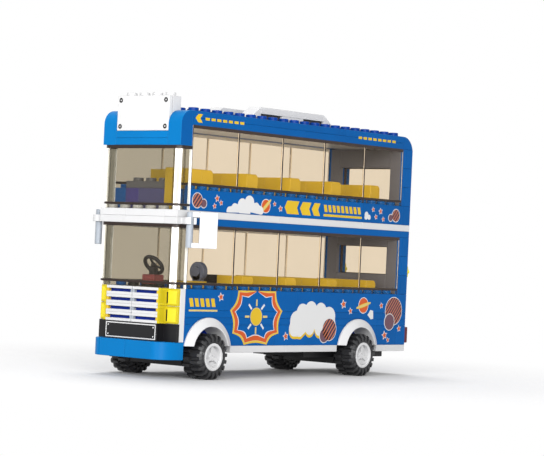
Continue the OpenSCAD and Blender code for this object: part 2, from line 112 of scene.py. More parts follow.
def box_template():
    """The 24 corners of a chamfered box as (axis, signs), and its faces as corner numbers."""
    corners = []
    for axis in range(3):
        for sign in (-1, 1):
            for a in (-1, 1):
                for b in (-1, 1):
                    signs = [a, b]
                    signs.insert(axis, sign)
                    corners.append((axis, tuple(signs)))
    number = {c: i for i, c in enumerate(corners)}

    def point(c):
        return np.array([s if i == c[0] else 0.8 * s for i, s in enumerate(c[1])])

    def outward(loop):
        p = [point(corners[i]) for i in loop]
        normal = np.cross(p[1] - p[0], p[2] - p[0])
        return loop if normal @ sum(p) > 0 else loop[::-1]

    faces = []
    for axis in range(3):
        b, c = [i for i in range(3) if i != axis]
        for sign in (-1, 1):
            loop = []
            for sb, sc in ((-1, -1), (1, -1), (1, 1), (-1, 1)):
                signs = [0, 0, 0]
                signs[axis], signs[b], signs[c] = sign, sb, sc
                loop.append(number[(axis, tuple(signs))])
            faces.append(outward(loop))
    for along in range(3):
        b, c = [i for i in range(3) if i != along]
        for sb in (-1, 1):
            for sc in (-1, 1):
                ends = []
                for s in (-1, 1):
                    signs = [0, 0, 0]
                    signs[along], signs[b], signs[c] = s, sb, sc
                    ends.append(tuple(signs))
                faces.append(outward([number[(b, ends[0])], number[(b, ends[1])],
                                      number[(c, ends[1])], number[(c, ends[0])]]))
    for sx in (-1, 1):
        for sy in (-1, 1):
            for sz in (-1, 1):
                faces.append(outward([number[(axis, (sx, sy, sz))] for axis in range(3)]))
    return corners, faces


BOX_CORNERS, BOX_FACES = box_template()


def blended(before, after, before_len, after_len, limit=50):
    """Normals on both sides of a corner: shared if it's blunt, leaning to the longer side."""
    if before[0] * after[0] + before[1] * after[1] < math.cos(math.radians(limit)):
        return before, after
    x = before[0] * before_len ** 2 + after[0] * after_len ** 2
    y = before[1] * before_len ** 2 + after[1] * after_len ** 2
    size = math.hypot(x, y) or 1.0
    return (x / size, y / size), (x / size, y / size)


def mirrors(place):
    """Whether a placement turns right hands into left hands."""
    axes = [place(*axis, False) for axis in ((1, 0, 0), (0, 1, 0), (0, 0, 1))]
    return np.linalg.det(np.array(axes, float)) < 0


def anticlockwise(outline):
    area = sum(a[0] * b[1] - b[0] * a[1] for a, b in zip(outline, outline[1:] + outline[:1]))
    return outline if area > 0 else outline[::-1]


def side_normals(outline):
    """Outward direction and length of each side of an anticlockwise outline."""
    sides = []
    for a, b in zip(outline, outline[1:] + outline[:1]):
        length = math.hypot(b[0] - a[0], b[1] - a[1]) or 1e-9
        sides.append(((b[1] - a[1]) / length, (a[0] - b[0]) / length, length))
    return sides


def turned(outline, angle):
    """An outline turned about its origin, in radians."""
    c, s = math.cos(angle), math.sin(angle)
    return [(u * c - v * s, u * s + v * c) for u, v in outline]


def rim_bars(a, b, rim):
    """Four bars round the inside of a rectangle, as pairs of ranges."""
    (a0, a1), (b0, b1) = a, b
    within = (b0 + rim, b1 - rim)
    return (a, (b0, b0 + rim)), (a, (b1 - rim, b1)), ((a0, a0 + rim), within), ((a1 - rim, a1), within)


class Sculpt:
    """Gathers closed shapes into one mesh, with a normal for each face corner."""

    def __init__(self):
        self.verts = []
        self.faces = []
        self.normals = []
        self.mats = []
        self.tones = []

    def add(self, verts, faces, normals, mat, tone):
        start = len(self.verts)
        self.verts.extend(verts)
        for face, corner_normals in zip(faces, normals):
            self.faces.append([start + i for i in face])
            self.normals.extend(corner_normals)
            self.tones.append(tone)
        self.mats.extend(mat if isinstance(mat, list) else [mat] * len(faces))

    def add_placed(self, verts, faces, normals, mat, tone, place):
        """Adds faces wound for a right-handed placement, turned over where place mirrors."""
        if mirrors(place):
            faces = [f[::-1] for f in faces]
            normals = [m[::-1] for m in normals]
        self.add(verts, faces, normals, mat, tone)

    def box(self, x, y, z, edge=EDGE, mat=0, tone=None, turn=None):
        """A chamfered box between ranges. turn maps a point and its direction elsewhere."""
        low = np.array([min(x), min(y), min(z)], float)
        high = np.array([max(x), max(y), max(z)], float)
        mid, half = (low + high) / 2, (high - low) / 2
        edge = min(edge, 0.45 * half.min())
        tone = random.uniform(-1, 1) if tone is None else tone
        verts, axes = [], []
        for axis, signs in BOX_CORNERS:
            p = [mid[i] + signs[i] * (half[i] - (0 if i == axis else edge)) for i in range(3)]
            n = [0.0, 0.0, 0.0]
            n[axis] = float(signs[axis])
            verts.append(turn(p, True) if turn else p)
            axes.append(turn(n, False) if turn else n)
        faces = BOX_FACES
        if turn and mirrors(lambda u, v, w, moved: turn((u, v, w), moved)):
            faces = [f[::-1] for f in faces]
        self.add(verts, faces, [[axes[i] for i in f] for f in faces], mat, tone)

    def prism(self, outline, w0, w1, place, edge=EDGE, mat=0, tone=None, cap=None):
        """An outline (u, v) drawn out from w0 to w1; place maps (u, v, w). cap colours its ends."""
        tone = random.uniform(-1, 1) if tone is None else tone
        outline = anticlockwise(outline)
        n = len(outline)
        sides = side_normals(outline)
        starts, ends, inset = [None] * n, [None] * n, []
        for i in range(n):
            before, after = sides[i - 1], sides[i]
            pair = blended(before[:2], after[:2], before[2], after[2])
            ends[i - 1], starts[i] = pair
            grow = max(1 + before[0] * after[0] + before[1] * after[1], 0.3)
            inset.append((outline[i][0] - edge * (before[0] + after[0]) / grow,
                          outline[i][1] - edge * (before[1] + after[1]) / grow))
        rings = [(outline, w0), (outline, w1)]
        if edge > 0:
            rings = [(inset, w0), (outline, w0 + edge), (outline, w1 - edge), (inset, w1)]
        verts = [place(u, v, w, True) for ring, w in rings for u, v in ring]
        down, up = place(0, 0, -1, False), place(0, 0, 1, False)
        faces, normals = [], []
        last = len(rings) - 1
        for k in range(last):
            for i in range(n):
                j = (i + 1) % n
                faces.append([k * n + i, k * n + j, (k + 1) * n + j, (k + 1) * n + i])
                first = place(starts[i][0], starts[i][1], 0, False)
                second = place(ends[i][0], ends[i][1], 0, False)
                quad = [first, second, second, first]
                if edge > 0 and k == 0:
                    quad = [down, down, second, first]
                if edge > 0 and k == last - 1:
                    quad = [first, second, up, up]
                normals.append(quad)
        faces.append(list(range(n))[::-1])
        normals.append([down] * n)
        faces.append([last * n + i for i in range(n)])
        normals.append([up] * n)
        mats = [mat] * (len(faces) - 2) + [mat if cap is None else cap] * 2
        self.add_placed(verts, faces, normals, mats, tone, place)

    def lathe(self, profile, place, segments=32, mat=0, tone=None):
        """A closed profile (radius, height) turned about the w axis of place."""
        tone = random.uniform(-1, 1) if tone is None else tone
        profile = anticlockwise(profile)
        n = len(profile)
        sides = side_normals(profile)
        starts, ends = [None] * n, [None] * n
        for i in range(n):
            before, after = sides[i - 1], sides[i]
            ends[i - 1], starts[i] = blended(before[:2], after[:2], before[2], after[2])
        verts, number = [], {}
        for i, (r, h) in enumerate(profile):
            if r < 1e-9:
                number[i] = [len(verts)] * segments
                verts.append(place(0, 0, h, True))
                continue
            number[i] = list(range(len(verts), len(verts) + segments))
            for k in range(segments):
                t = 2 * math.pi * k / segments
                verts.append(place(r * math.cos(t), r * math.sin(t), h, True))
        faces, normals = [], []
        for i in range(n):
            j = (i + 1) % n
            if profile[i][0] < 1e-9 and profile[j][0] < 1e-9:
                continue
            for k in range(segments):
                m = (k + 1) % segments
                quad = [(number[i][k], starts[i], k), (number[i][m], starts[i], m),
                        (number[j][m], ends[i], m), (number[j][k], ends[i], k)]
                seen, face, corner_normals = set(), [], []
                for v, (nr, nh), step in quad:
                    if v in seen:
                        continue
                    seen.add(v)
                    t = 2 * math.pi * step / segments
                    face.append(v)
                    corner_normals.append(place(nr * math.cos(t), nr * math.sin(t), nh, False))
                faces.append(face)
                normals.append(corner_normals)
        self.add_placed(verts, faces, normals, mat, tone, place)

    def cylinder(self, r, w0, w1, place, edge=EDGE, segments=24, mat=0, tone=None):
        e = min(edge, 0.45 * (w1 - w0), 0.45 * r)
        self.lathe([(0, w0), (r - e, w0), (r, w0 + e), (r, w1 - e), (r - e, w1), (0, w1)],
                   place, segments, mat, tone)

    def stud(self, x, y, z, mat=0, tone=None):
        self.cylinder(STUD_R, z - 0.05, z + STUD_H - 0.02, upright(x, y, 0), 0.22, 24, mat, tone)

    def band(self, outer, inner, w0, w1, place, mat=0):
        """A flat open band between two lines with as many points."""
        n = len(outer)
        verts = [place(u, v, w, True) for ring, w in
                 ((outer, w0), (outer, w1), (inner, w1), (inner, w0)) for u, v in ring]
        up, down = place(0, 0, 1, False), place(0, 0, -1, False)
        faces, normals = [], []
        for k in range(4):
            ring = outer if k == 0 else inner
            sign = 1 if k == 0 else -1
            for i in range(n - 1):
                j = i + 1
                m = (k + 1) % 4
                faces.append([k * n + i, k * n + j, m * n + j, m * n + i])
                across_edge = (sign * (ring[j][1] - ring[i][1]), sign * (ring[i][0] - ring[j][0]))
                level = {1: up, 3: down}.get(k)
                normals.append([level or place(*across_edge, 0, False)] * 4)
        first_end = [0, n, 2 * n, 3 * n]
        last_end = [4 * n - 1, 3 * n - 1, 2 * n - 1, n - 1]
        for end, a, b in ((first_end, outer[0], outer[1]), (last_end, outer[-1], outer[-2])):
            faces.append(end)
            normals.append([place(a[0] - b[0], a[1] - b[1], 0, False)] * 4)
        self.add_placed(verts, faces, normals, mat, 0, place)

    def build(self, name, body, slot, materials, replaces=()):
        points = np.array(self.verts, float) * MM + ORIGIN
        mesh = bpy.data.meshes.new(name)
        mesh.from_pydata([tuple(p) for p in points], [], self.faces)
        mesh.polygons.foreach_set("material_index", self.mats)
        mesh.polygons.foreach_set("use_smooth", [True] * len(self.faces))
        tone = mesh.attributes.new("tone", "FLOAT", "FACE")
        tone.data.foreach_set("value", self.tones)
        mesh.normals_split_custom_set([unit(n) for n in self.normals])
        for material in materials:
            mesh.materials.append(material)
        piece = bpy.data.objects.new(name, mesh)
        bpy.context.scene.collection.objects.link(piece)
        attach(piece, body)
        if replaces:
            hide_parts(*replaces)
        return piece


# Ways to place a flat outline. Each maps a point, or a direction when moved is False.

def upright(x, y, z):
    """u along X, v along Y, w up."""
    def place(u, v, w, moved):
        return (x + u, y + v, z + w) if moved else (u, v, w)
    return place


def facing_side(side):
    """u along X, v up, w away from the middle of the bus, for side 1 (left) or -1 (right)."""
    def place(u, v, w, moved):
        return (u, side * w, v)
    return place


def facing_front(x, y, z):
    """u along Y, v up, w forward from a point."""
    def place(u, v, w, moved):
        return (x + w, y + u, z + v) if moved else (w, u, v)
    return place


def facing_rear(x, y, z):
    """u to the right, v up, w rearward from a point."""
    def place(u, v, w, moved):
        return (x - w, y - u, z + v) if moved else (-w, -u, v)
    return place


def across(u, v, w, moved):
    """u along X, v up, w to the left: for pieces that run across the bus."""
    return (u, w, v)


def around_axle(x, z, side):
    """u along X, v up from an axle, w away from the middle of the bus."""
    def place(u, v, w, moved):
        return (x + u, side * w, z + v) if moved else (u, side * w, v)
    return place


def arc(cx, cy, r, start, end, steps):
    """Points on an arc, in degrees."""
    return [(cx + r * math.cos(math.radians(start + (end - start) * i / steps)),
             cy + r * math.sin(math.radians(start + (end - start) * i / steps)))
            for i in range(steps + 1)]


# ---------------------------------------------------------------- materials

def linear(rgb):
    return [((c / 255) / 12.92 if c / 255 <= 0.04045 else ((c / 255 + 0.055) / 1.055) ** 2.4)
            for c in rgb]


class Nodes:
    """Short hand for wiring a material."""

    def __init__(self, name):
        self.material = bpy.data.materials.new(name)
        self.material.use_nodes = True
        self.tree = self.material.node_tree
        self.tree.nodes.clear()
        self.out = self.add("ShaderNodeOutputMaterial")
        self.place = self.add("ShaderNodeTexCoord").outputs["Object"]

    def add(self, kind, **settings):
        node = self.tree.nodes.new(kind)
        for key, value in settings.items():
            setattr(node, key, value)
        return node

    def link(self, source, target):
        self.tree.links.new(source, target)

    def noise(self, scale, detail=2.0, rough=0.5):
        node = self.add("ShaderNodeTexNoise")
        node.inputs["Scale"].default_value = scale
        node.inputs["Detail"].default_value = detail
        node.inputs["Roughness"].default_value = rough
        self.link(self.place, node.inputs["Vector"])
        return node.outputs["Fac"]

    def spread(self, source, low, high):
        node = self.add("ShaderNodeMapRange")
        node.inputs["From Min"].default_value = 0.25
        node.inputs["From Max"].default_value = 0.75
        node.inputs["To Min"].default_value = low
        node.inputs["To Max"].default_value = high
        self.link(source, node.inputs["Value"])
        return node.outputs["Result"]

    def maths(self, kind, a, b):
        node = self.add("ShaderNodeMath", operation=kind)
        for socket, value in zip(node.inputs, (a, b)):
            if isinstance(value, (int, float)):
                socket.default_value = value
            else:
                self.link(value, socket)
        return node.outputs[0]

    def mix(self, factor, a, b, blend="MIX"):
        node = self.add("ShaderNodeMix", data_type="RGBA", blend_type=blend)
        sockets = {"f": node.inputs[0], "a": node.inputs[6], "b": node.inputs[7]}
        for key, value in (("f", factor), ("a", a), ("b", b)):
            if isinstance(value, (int, float)):
                sockets[key].default_value = value
            elif isinstance(value, (list, tuple)):
                sockets[key].default_value = (*value, 1.0)
            else:
                self.link(value, sockets[key])
        return node.outputs[2]

    def bump(self, height, strength, distance, under=None):
        node = self.add("ShaderNodeBump")
        node.inputs["Strength"].default_value = strength
        node.inputs["Distance"].default_value = distance
        self.link(height, node.inputs["Height"])
        if under is not None:
            self.link(under, node.inputs["Normal"])
        return node.outputs["Normal"]


def moulded(name, rgb, rough=0.3, shade=0.06, grain=0.25, tone=0.03, gloss=0.25):
    """Glossy moulded plastic: faint cloudiness, moulding waves, fine scuffs and a tone per brick."""
    n = Nodes(name)
    base = linear(rgb)
    cloud = n.spread(n.noise(45, 3), 1 - shade, 1 + shade)
    brick = n.add("ShaderNodeAttribute", attribute_name="tone", attribute_type="GEOMETRY").outputs["Fac"]
    value = n.maths("MULTIPLY", cloud, n.maths("MULTIPLY_ADD", brick, tone))
    n.tree.nodes[-1].inputs[2].default_value = 1.0
    scuff = n.noise(1400, 4, 0.7)
    colour = n.add("ShaderNodeHueSaturation")
    colour.inputs["Color"].default_value = (*base, 1)
    n.link(value, colour.inputs["Value"])
    shader = n.add("ShaderNodeBsdfPrincipled")
    shader.inputs["Specular IOR Level"].default_value = gloss
    n.link(colour.outputs["Color"], shader.inputs["Base Color"])
    n.link(n.spread(scuff, rough - 0.05, rough + 0.09), shader.inputs["Roughness"])
    waves = n.bump(n.noise(160, 1), 0.12 * grain, 0.002)
    n.link(n.bump(n.noise(3200, 2), 0.2 * grain, 0.0001, waves), shader.inputs["Normal"])
    n.link(shader.outputs["BSDF"], n.out.inputs["Surface"])
    return n.material


def tyre_rubber(name):
    n = Nodes(name)
    base = linear((23, 23, 25))
    dust = n.spread(n.noise(260, 4, 0.65), 0.0, 0.35)
    shader = n.add("ShaderNodeBsdfPrincipled")
    n.link(n.mix(dust, base, [c * 1.7 for c in base]), shader.inputs["Base Color"])
    n.link(n.spread(n.noise(900, 3), 0.36, 0.56), shader.inputs["Roughness"])
    n.link(n.bump(n.noise(2600, 3), 0.25, 0.0002), shader.inputs["Normal"])
    n.link(shader.outputs["BSDF"], n.out.inputs["Surface"])
    return n.material


def clear_panel(name, tint, body, solid, rough=0.06):
    """Thin clear plastic: lets tinted light through, with a share of its own body colour and gloss."""
    n = Nodes(name)
    through = n.add("ShaderNodeBsdfTransparent")
    streak = n.spread(n.noise(70, 2), 0.994, 1.006)
    tinted = n.add("ShaderNodeHueSaturation")
    tinted.inputs["Color"].default_value = (*linear(tint), 1)
    n.link(streak, tinted.inputs["Value"])
    shader = n.add("ShaderNodeBsdfPrincipled")
    shader.inputs["Base Color"].default_value = (*linear(body), 1)
    shader.inputs["Specular IOR Level"].default_value = 0.25
    n.link(n.spread(n.noise(800, 3), rough, rough + 0.05), shader.inputs["Roughness"])
    n.link(n.bump(n.noise(90, 1), 0.05, 0.001), shader.inputs["Normal"])
    facing = n.add("ShaderNodeLayerWeight").outputs["Facing"]
    gloss = n.maths("MULTIPLY", n.maths("POWER", facing, 5), 0.9)
    # Light for the pieces inside passes unweakened, which keeps them as bright as real thin panes do
    path = n.add("ShaderNodeLightPath").outputs
    lighting = n.maths("MAXIMUM", path["Is Shadow Ray"], path["Is Diffuse Ray"])
    n.link(n.mix(lighting, tinted.outputs["Color"], (1.0, 1.0, 1.0)), through.inputs["Color"])
    share = n.maths("MULTIPLY", n.maths("ADD", gloss, solid), n.maths("SUBTRACT", 1.0, lighting))
    mixed = n.add("ShaderNodeMixShader")
    n.link(share, mixed.inputs[0])
    n.link(through.outputs[0], mixed.inputs[1])
    n.link(shader.outputs[0], mixed.inputs[2])
    n.link(mixed.outputs[0], n.out.inputs["Surface"])
    return n.material


BLUE = moulded("blue_plastic", (0, 100, 180), gloss=0.06)
# Roof studs get a darker copy of the blue: painted shade, since they are the same blue plastic as the roof.
ROOF_STUD_SHADE_BLUE = moulded("roof_stud_painted_shade_blue", (0, 66, 160), gloss=0.08)
AZURE = moulded("azure_plastic", (0, 130, 206), gloss=0.08)
NAVY = moulded("navy_plastic", (12, 46, 152), gloss=0.12)
WHITE = moulded("white_plastic", (240, 240, 241), shade=0.02, tone=0.012)
BLACK = moulded("black_plastic", (26, 26, 29), rough=0.34)
YELLOW = moulded("yellow_plastic", (248, 206, 60))
LIGHT_GREY = moulded("light_grey_plastic", (186, 194, 204))
GREY = moulded("grey_plastic", (66, 66, 71), rough=0.36)
STEEL_BLUE = moulded("dark_steel_plastic", (104, 110, 128), rough=0.36)
VIOLET = moulded("indigo_plastic", (92, 84, 168))
DUSK = moulded("dusky_violet_plastic", (104, 104, 156))
LINING_GREY = moulded("lining_grey_plastic", (124, 123, 129), rough=0.36)
RED = moulded("dark_red_plastic", (112, 26, 36))
MAROON = moulded("steering_block_red", (176, 88, 90))
TYRE = tyre_rubber("tyre_rubber")
PANE = clear_panel("smoky_pane", (249, 244, 236), (150, 134, 114), 0.008)
PANE_EDGE = clear_panel("smoky_edge", (110, 86, 68), (36, 26, 22), 0.95, 0.3)
# Painted highlight: a bright, nearly opaque pane for the light caught along window edges.
PANE_GLEAM = clear_panel("smoky_gleam", (255, 250, 240), (252, 240, 220), 0.9)
SCREEN = clear_panel("smoky_screen", (214, 212, 205), (130, 122, 108), 0.04)
# The bend and bend gleam panes are painted highlights: whitish, nearly opaque bands for the light that the
# curved corners throw back.
SCREEN_BEND_HIGHLIGHT = clear_panel("smoky_bend_highlight", (246, 243, 238), (216, 213, 208), 0.32)
SCREEN_GLEAM = clear_panel("smoky_bend_gleam", (255, 255, 255), (250, 249, 247), 0.85)
LAMP = clear_panel("clear_yellow", (250, 236, 72), (206, 190, 46), 0.8, 0.12)
AMBER = clear_panel("clear_amber", (236, 214, 44), (176, 160, 26), 0.85, 0.12)
PRINTED = {"rough": 0.42, "grain": 0.1}
STICKER_ORANGE = moulded("sticker_orange", (228, 96, 34), **PRINTED)
STICKER_YELLOW = moulded("sticker_yellow", (246, 204, 36), **PRINTED)
STICKER_CREAM = moulded("sticker_cream", (240, 214, 130), **PRINTED)
STICKER_WHITE = moulded("sticker_white", (246, 246, 246), shade=0.01, **PRINTED)
STICKER_PLUM = moulded("sticker_plum", (118, 82, 96), **PRINTED)
STICKER_DARK = moulded("sticker_dark", (52, 44, 70), **PRINTED)
STICKER_SALMON = moulded("sticker_salmon", (206, 122, 92), **PRINTED)
SIGN_WHITE = moulded("sign_white", (248, 248, 248), shade=0.01, rough=0.26, tone=0.005)


# ---------------------------------------------------------------- walls and bands

def brick_row(sculpt, seams, y, z, mat=0):
    """Bricks from seam to seam along X."""
    for front, rear in zip(seams, seams[1:]):
        sculpt.box((rear, front), y, z, mat=mat)


ARCH_R = 16.05
ARCH_STEPS = 14
tyre_low, tyre_high = span("front_left_tyre")
rear_tyre_low, rear_tyre_high = span("rear_left_tyre")
FRONT_AXLE = (tyre_low[0] + tyre_high[0]) / 2
REAR_AXLE = (rear_tyre_low[0] + rear_tyre_high[0]) / 2
AXLE_Z = (tyre_low[2] + tyre_high[2]) / 2
TYRE_R = (tyre_high[0] - tyre_low[0]) / 2


def arch_brick(axle_x, towards, end_x, z0, z1):
    """Outline of a brick cut by the wheel arch, on the side of the axle given by towards."""
    curve = []
    for i in range(ARCH_STEPS + 1):
        z = z0 + (z1 - z0) * i / ARCH_STEPS
        reach = math.sqrt(max(ARCH_R ** 2 - z ** 2, 0.0))
        curve.append((axle_x + towards * reach, z))
    outline = curve + [(end_x, z1), (end_x, z0)]
    return outline if towards < 0 else outline[::-1]


def lower_wall(side):
    name = "left" if side > 0 else "right"
    sculpt = Sculpt()
    y = (side * INNER_W, side * HALF_W)
    low = PLATE
    course = [low, low + 3 * PLATE, low + 4 * PLATE, low + 5 * PLATE, SILL_TOP]
    brick_row(sculpt, [0, -4 * PITCH, -10 * PITCH, -16 * PITCH, -SIDE_L], y, (course[3], course[4]))
    brick_row(sculpt, [0, -6 * PITCH, -12 * PITCH, -SIDE_L], y, (course[2], course[3]))
    for z0, z1 in zip(course[:2], course[1:3]):
        brick_row(sculpt, [FRONT_AXLE - 2 * PITCH, -8 * PITCH, REAR_AXLE + 2 * PITCH], y, (z0, z1))
        for axle, towards in ((FRONT_AXLE, 1), (FRONT_AXLE, -1), (REAR_AXLE, 1), (REAR_AXLE, -1)):
            outline = arch_brick(axle, towards, axle + towards * 2 * PITCH, z0, z1)
            sculpt.prism(outline, INNER_W, HALF_W, facing_side(side), 0.12)
        if -SIDE_L < REAR_AXLE - 2 * PITCH - 1:
            brick_row(sculpt, [REAR_AXLE - 2 * PITCH, -SIDE_L], y, (z0, z1))
    sculpt.build(name + "_wall_bricks", "root", "blue_plastic", [BLUE], [name + "_lower_wall"])


for wall_side in (1, -1):
    lower_wall(wall_side)


def sills():
    sculpt = Sculpt()
    for side in (1, -1):
        y = (side * INNER_W, side * HALF_W)
        brick_row(sculpt, [FRONT_AXLE - 2 * PITCH, -9 * PITCH, REAR_AXLE + 2 * PITCH], y, (0, PLATE))
        brick_row(sculpt, [REAR_AXLE - 2 * PITCH, TAIL_X + 2 * PITCH, TAIL_X], y, (0, PLATE))
    sculpt.box((TAIL_X, -SIDE_L), (-INNER_W, INNER_W), (0, PLATE))
    sculpt.build("sill_plates", "root", "white_plastic", [WHITE], ["side_sills"])


def deck_plates():
    sculpt = Sculpt()
    for front, rear in ((0, -12 * PITCH), (-12 * PITCH, TAIL_X)):
        sculpt.box((rear, front), (-HALF_W, HALF_W), (DECK_Z, STRIPE_Z))
    sculpt.build("deck_plates", "root", "blue_plastic", [BLUE], ["deck_plate"])


def deck_stripe():
    sculpt = Sculpt()
    for front, rear in ((0, -8 * PITCH), (-8 * PITCH, -16 * PITCH), (-16 * PITCH, TAIL_X)):
        sculpt.box((rear, front), (-HALF_W, HALF_W), (STRIPE_Z, UPPER_Z))
    for i in range(int(SIDE_L / PITCH)):
        x = -(i + 0.5) * PITCH
        if i % 4 == 3:
            for j in range(4):
                sculpt.stud(x, (j - 1.5) * PITCH, UPPER_Z)
    sculpt.build("deck_stripe_plates", "root", "white_plastic", [WHITE], ["deck_stripe"])


def upper_bands():
    sculpt = Sculpt()
    for side in (1, -1):
        brick_row(sculpt, [0, -8 * PITCH, -16 * PITCH, -SIDE_L], (side * INNER_W, side * HALF_W),
                  (UPPER_Z, BAND_TOP))
    sculpt.build("band_bricks", "root", "blue_plastic", [BLUE], ["upper_bands"])


sills()
deck_plates()
deck_stripe()
upper_bands()

# ---------------------------------------------------------------- windows

GLASS = 1.5
FOOT = STUD_H + 0.05
WEB = 1.05
HEAD = 1.5
JOINT = 0.36
SKIN = 0.16
GLEAM = 0.3
CLEAR_MATS = [PANE, PANE_EDGE, PANE_GLEAM, BLUE]
SHEET, DARK_EDGE, GLEAM_MAT, STUDS = range(4)


def window_row(name, side, low, high):
    """Panels of clear plastic on a row of studs: a face, a foot and a head each, with dark joints and painted
    highlight strips beside them.
    """
    sculpt = Sculpt()
    gap = 0.03
    outer = (side * (HALF_W - GLASS), side * HALF_W)
    web = (low + FOOT, low + FOOT + WEB)
    for i in range(BAYS):
        front, rear = -i * BAY - gap, -(i + 1) * BAY + gap
        inside = (rear + JOINT, front - JOINT)
        skin = (side * (HALF_W - SKIN), side * HALF_W)
        lined = (side * (HALF_W - 2 * SKIN), side * (HALF_W - SKIN))
        sculpt.box(inside, outer, (web[1], high - HEAD), 0.02, SHEET)
        sculpt.box(inside, outer, (low, web[0]), 0.02, SHEET)
        for x in ((front - JOINT, front), (rear, rear + JOINT)):
            sculpt.box(x, skin, (low, high), 0.04, DARK_EDGE)
            # Gleam strips just inside the dark skin: painted highlight.
            sculpt.box(x, lined, (web[1], high), 0.04, GLEAM_MAT)
        sculpt.box((rear, front), (side * INNER_W, side * (HALF_W - 0.01)), web, 0.12, DARK_EDGE)
        sculpt.box((rear + JOINT, front - JOINT), skin, (high - HEAD, high), 0.04, DARK_EDGE)
        # Gleam strip along the head: painted highlight.
        sculpt.box((rear + JOINT, front - JOINT), lined, (high - HEAD, high), 0.04, GLEAM_MAT)
        for k in range(4):
            sculpt.stud(rear - gap + (k + 0.5) * PITCH, side * (HALF_W - PITCH / 2), low, STUDS)
    sculpt.build(name + "_panels", "root", "clear_brown", CLEAR_MATS, [name + "_windows"])


window_row("left_lower", 1, SILL_TOP, DECK_Z)
window_row("right_lower", -1, SILL_TOP, DECK_Z)
window_row("left_upper", 1, BAND_TOP, ROOF_Z)
window_row("right_upper", -1, BAND_TOP, ROOF_Z)


def windscreen(name, node):
    """A clear screen with rounded corners and its foot on studs, with painted highlights in bands on its
    corners.
    """
    low, high = span(node)
    r = 4.0
    thin = GLASS - 0.1
    sculpt = Sculpt()
    web = (low[2] + FOOT, low[2] + FOOT + WEB)
    levels = ((low[2], web[0]), (web[1], high[2] - HEAD))
    for z in levels:
        sculpt.box((NOSE_X - thin, NOSE_X), (-HALF_W + r, HALF_W - r), z, 0.02, 0)
        for side in (1, -1):
            y = (side * (HALF_W - thin), side * HALF_W)
            sculpt.box((GLEAM, NOSE_X - r), y, z, 0.02, 0)
            # A thin gleam strip at the rear edge of each side: painted highlight.
            sculpt.box((0, GLEAM), y, z, 0.04, 3)
            # Each corner in bands: plain screen, gleam, the whitish bend, gleam, plain screen; the gleam and
            # bend bands are painted highlights.
            for start, end, mat in ((0, 15, 0), (15, 22, 3), (22, 50, 2), (50, 60, 3), (60, 90, 0)):
                ring = arc(NOSE_X - r, HALF_W - r, r, start, end, 5)
                ring += arc(NOSE_X - r, HALF_W - r, r - thin, end, start, 5)
                sculpt.prism([(u, side * v) for u, v in ring], z[0], z[1], upright(0, 0, 0), 0.01, mat)
    outline = [(0, -HALF_W)] + arc(NOSE_X - r, -HALF_W + r, r, -90, 0, 8)
    outline += arc(NOSE_X - r, HALF_W - r, r, 0, 90, 8) + [(0, HALF_W)]
    sculpt.prism(outline, web[0], web[1], upright(0, 0, 0), 0.12, 1)
    inner = [(0, HALF_W - GLASS)] + arc(NOSE_X - r, HALF_W - r, r - GLASS, 90, 0, 8)
    inner += arc(NOSE_X - r, -HALF_W + r, r - GLASS, 0, -90, 8) + [(0, -HALF_W + GLASS)]
    sculpt.prism(outline + inner, high[2] - HEAD, high[2], upright(0, 0, 0), 0.12, 1)
    sculpt.build(name, "root", "clear_brown", [SCREEN, PANE_EDGE, SCREEN_BEND_HIGHLIGHT, SCREEN_GLEAM], [node])


windscreen("lower_screen", "lower_windscreen")
windscreen("upper_screen", "upper_windscreen")


# ---------------------------------------------------------------- wheels

def wheel(corner, axle_x, side):
    body = corner + "_wheel"
    low, high = span(corner + "_tyre")
    inner_y, outer_y = sorted((abs(low[1]), abs(high[1])))
    hub_r = 5.62
    base_r = TYRE_R - 1.5
    place = around_axle(axle_x, AXLE_Z, side)
    tyre = Sculpt()
    tyre.lathe([(hub_r, inner_y + 0.4), (hub_r + 0.5, inner_y), (base_r - 1.2, inner_y),
                (base_r, inner_y + 1.1), (base_r, outer_y - 1.1), (base_r - 1.0, outer_y - 0.3),
                (hub_r + 1.7, outer_y - 0.5), (hub_r + 1.4, outer_y - 0.05), (hub_r + 0.8, outer_y - 0.1),
                (hub_r + 0.75, outer_y - 1.5), (hub_r, outer_y - 1.5)], place, 64, 0, 0)
    lugs = 19
    middle = (inner_y + outer_y) / 2
    for row in (-1, 1):
        for k in range(lugs):
            angle = 2 * math.pi * (k + (0.25 if row > 0 else -0.25)) / lugs
            tread_lug(tyre, place, angle, 2 * math.pi / lugs * 0.5, base_r, TYRE_R,
                      middle, row, (outer_y - inner_y) / 2)
    tyre.build(corner + "_tyre_tread", body, "tyre_rubber", [TYRE], [corner + "_tyre"])

    hub = Sculpt()
    face = outer_y - 0.1
    floor = face - 2.2
    hub.lathe([(2.46, inner_y + 0.2), (4.9, inner_y + 0.2), (5.58, inner_y + 0.9), (5.58, face - 1.0),
               (6.2, face - 0.9), (6.3, face - 0.3), (6.0, face), (5.2, face), (4.95, face - 0.12),
               (4.8, face - 0.5), (4.65, floor + 0.2), (4.4, floor), (2.46, floor)],
              place, 64, 0, 0)
    hub.lathe([(0, floor - 1.6), (2.44, floor - 1.6), (2.44, floor - 0.1), (1.9, floor + 0.9),
               (1.6, floor + 1.1), (0.9, floor + 1.1), (0.8, floor + 0.7), (0, floor + 0.7)],
              place, 48, 0, 0)
    for k in range(3):
        spoke(hub, place, math.radians(90 + 120 * k), 1.5, 4.75, 0.8, floor - 0.1, floor + 1.2)
    hub.build(corner + "_hub_moulding", body, "white_plastic", [WHITE], [corner + "_hub"])


def spoke(sculpt, place, angle, r0, r1, half, w0, w1):
    outline = [(r0, -half), (r1, -half * 1.2), (r1, half * 1.2), (r0, half)]
    sculpt.prism(turned(outline, angle), w0, w1, place, 0.15)


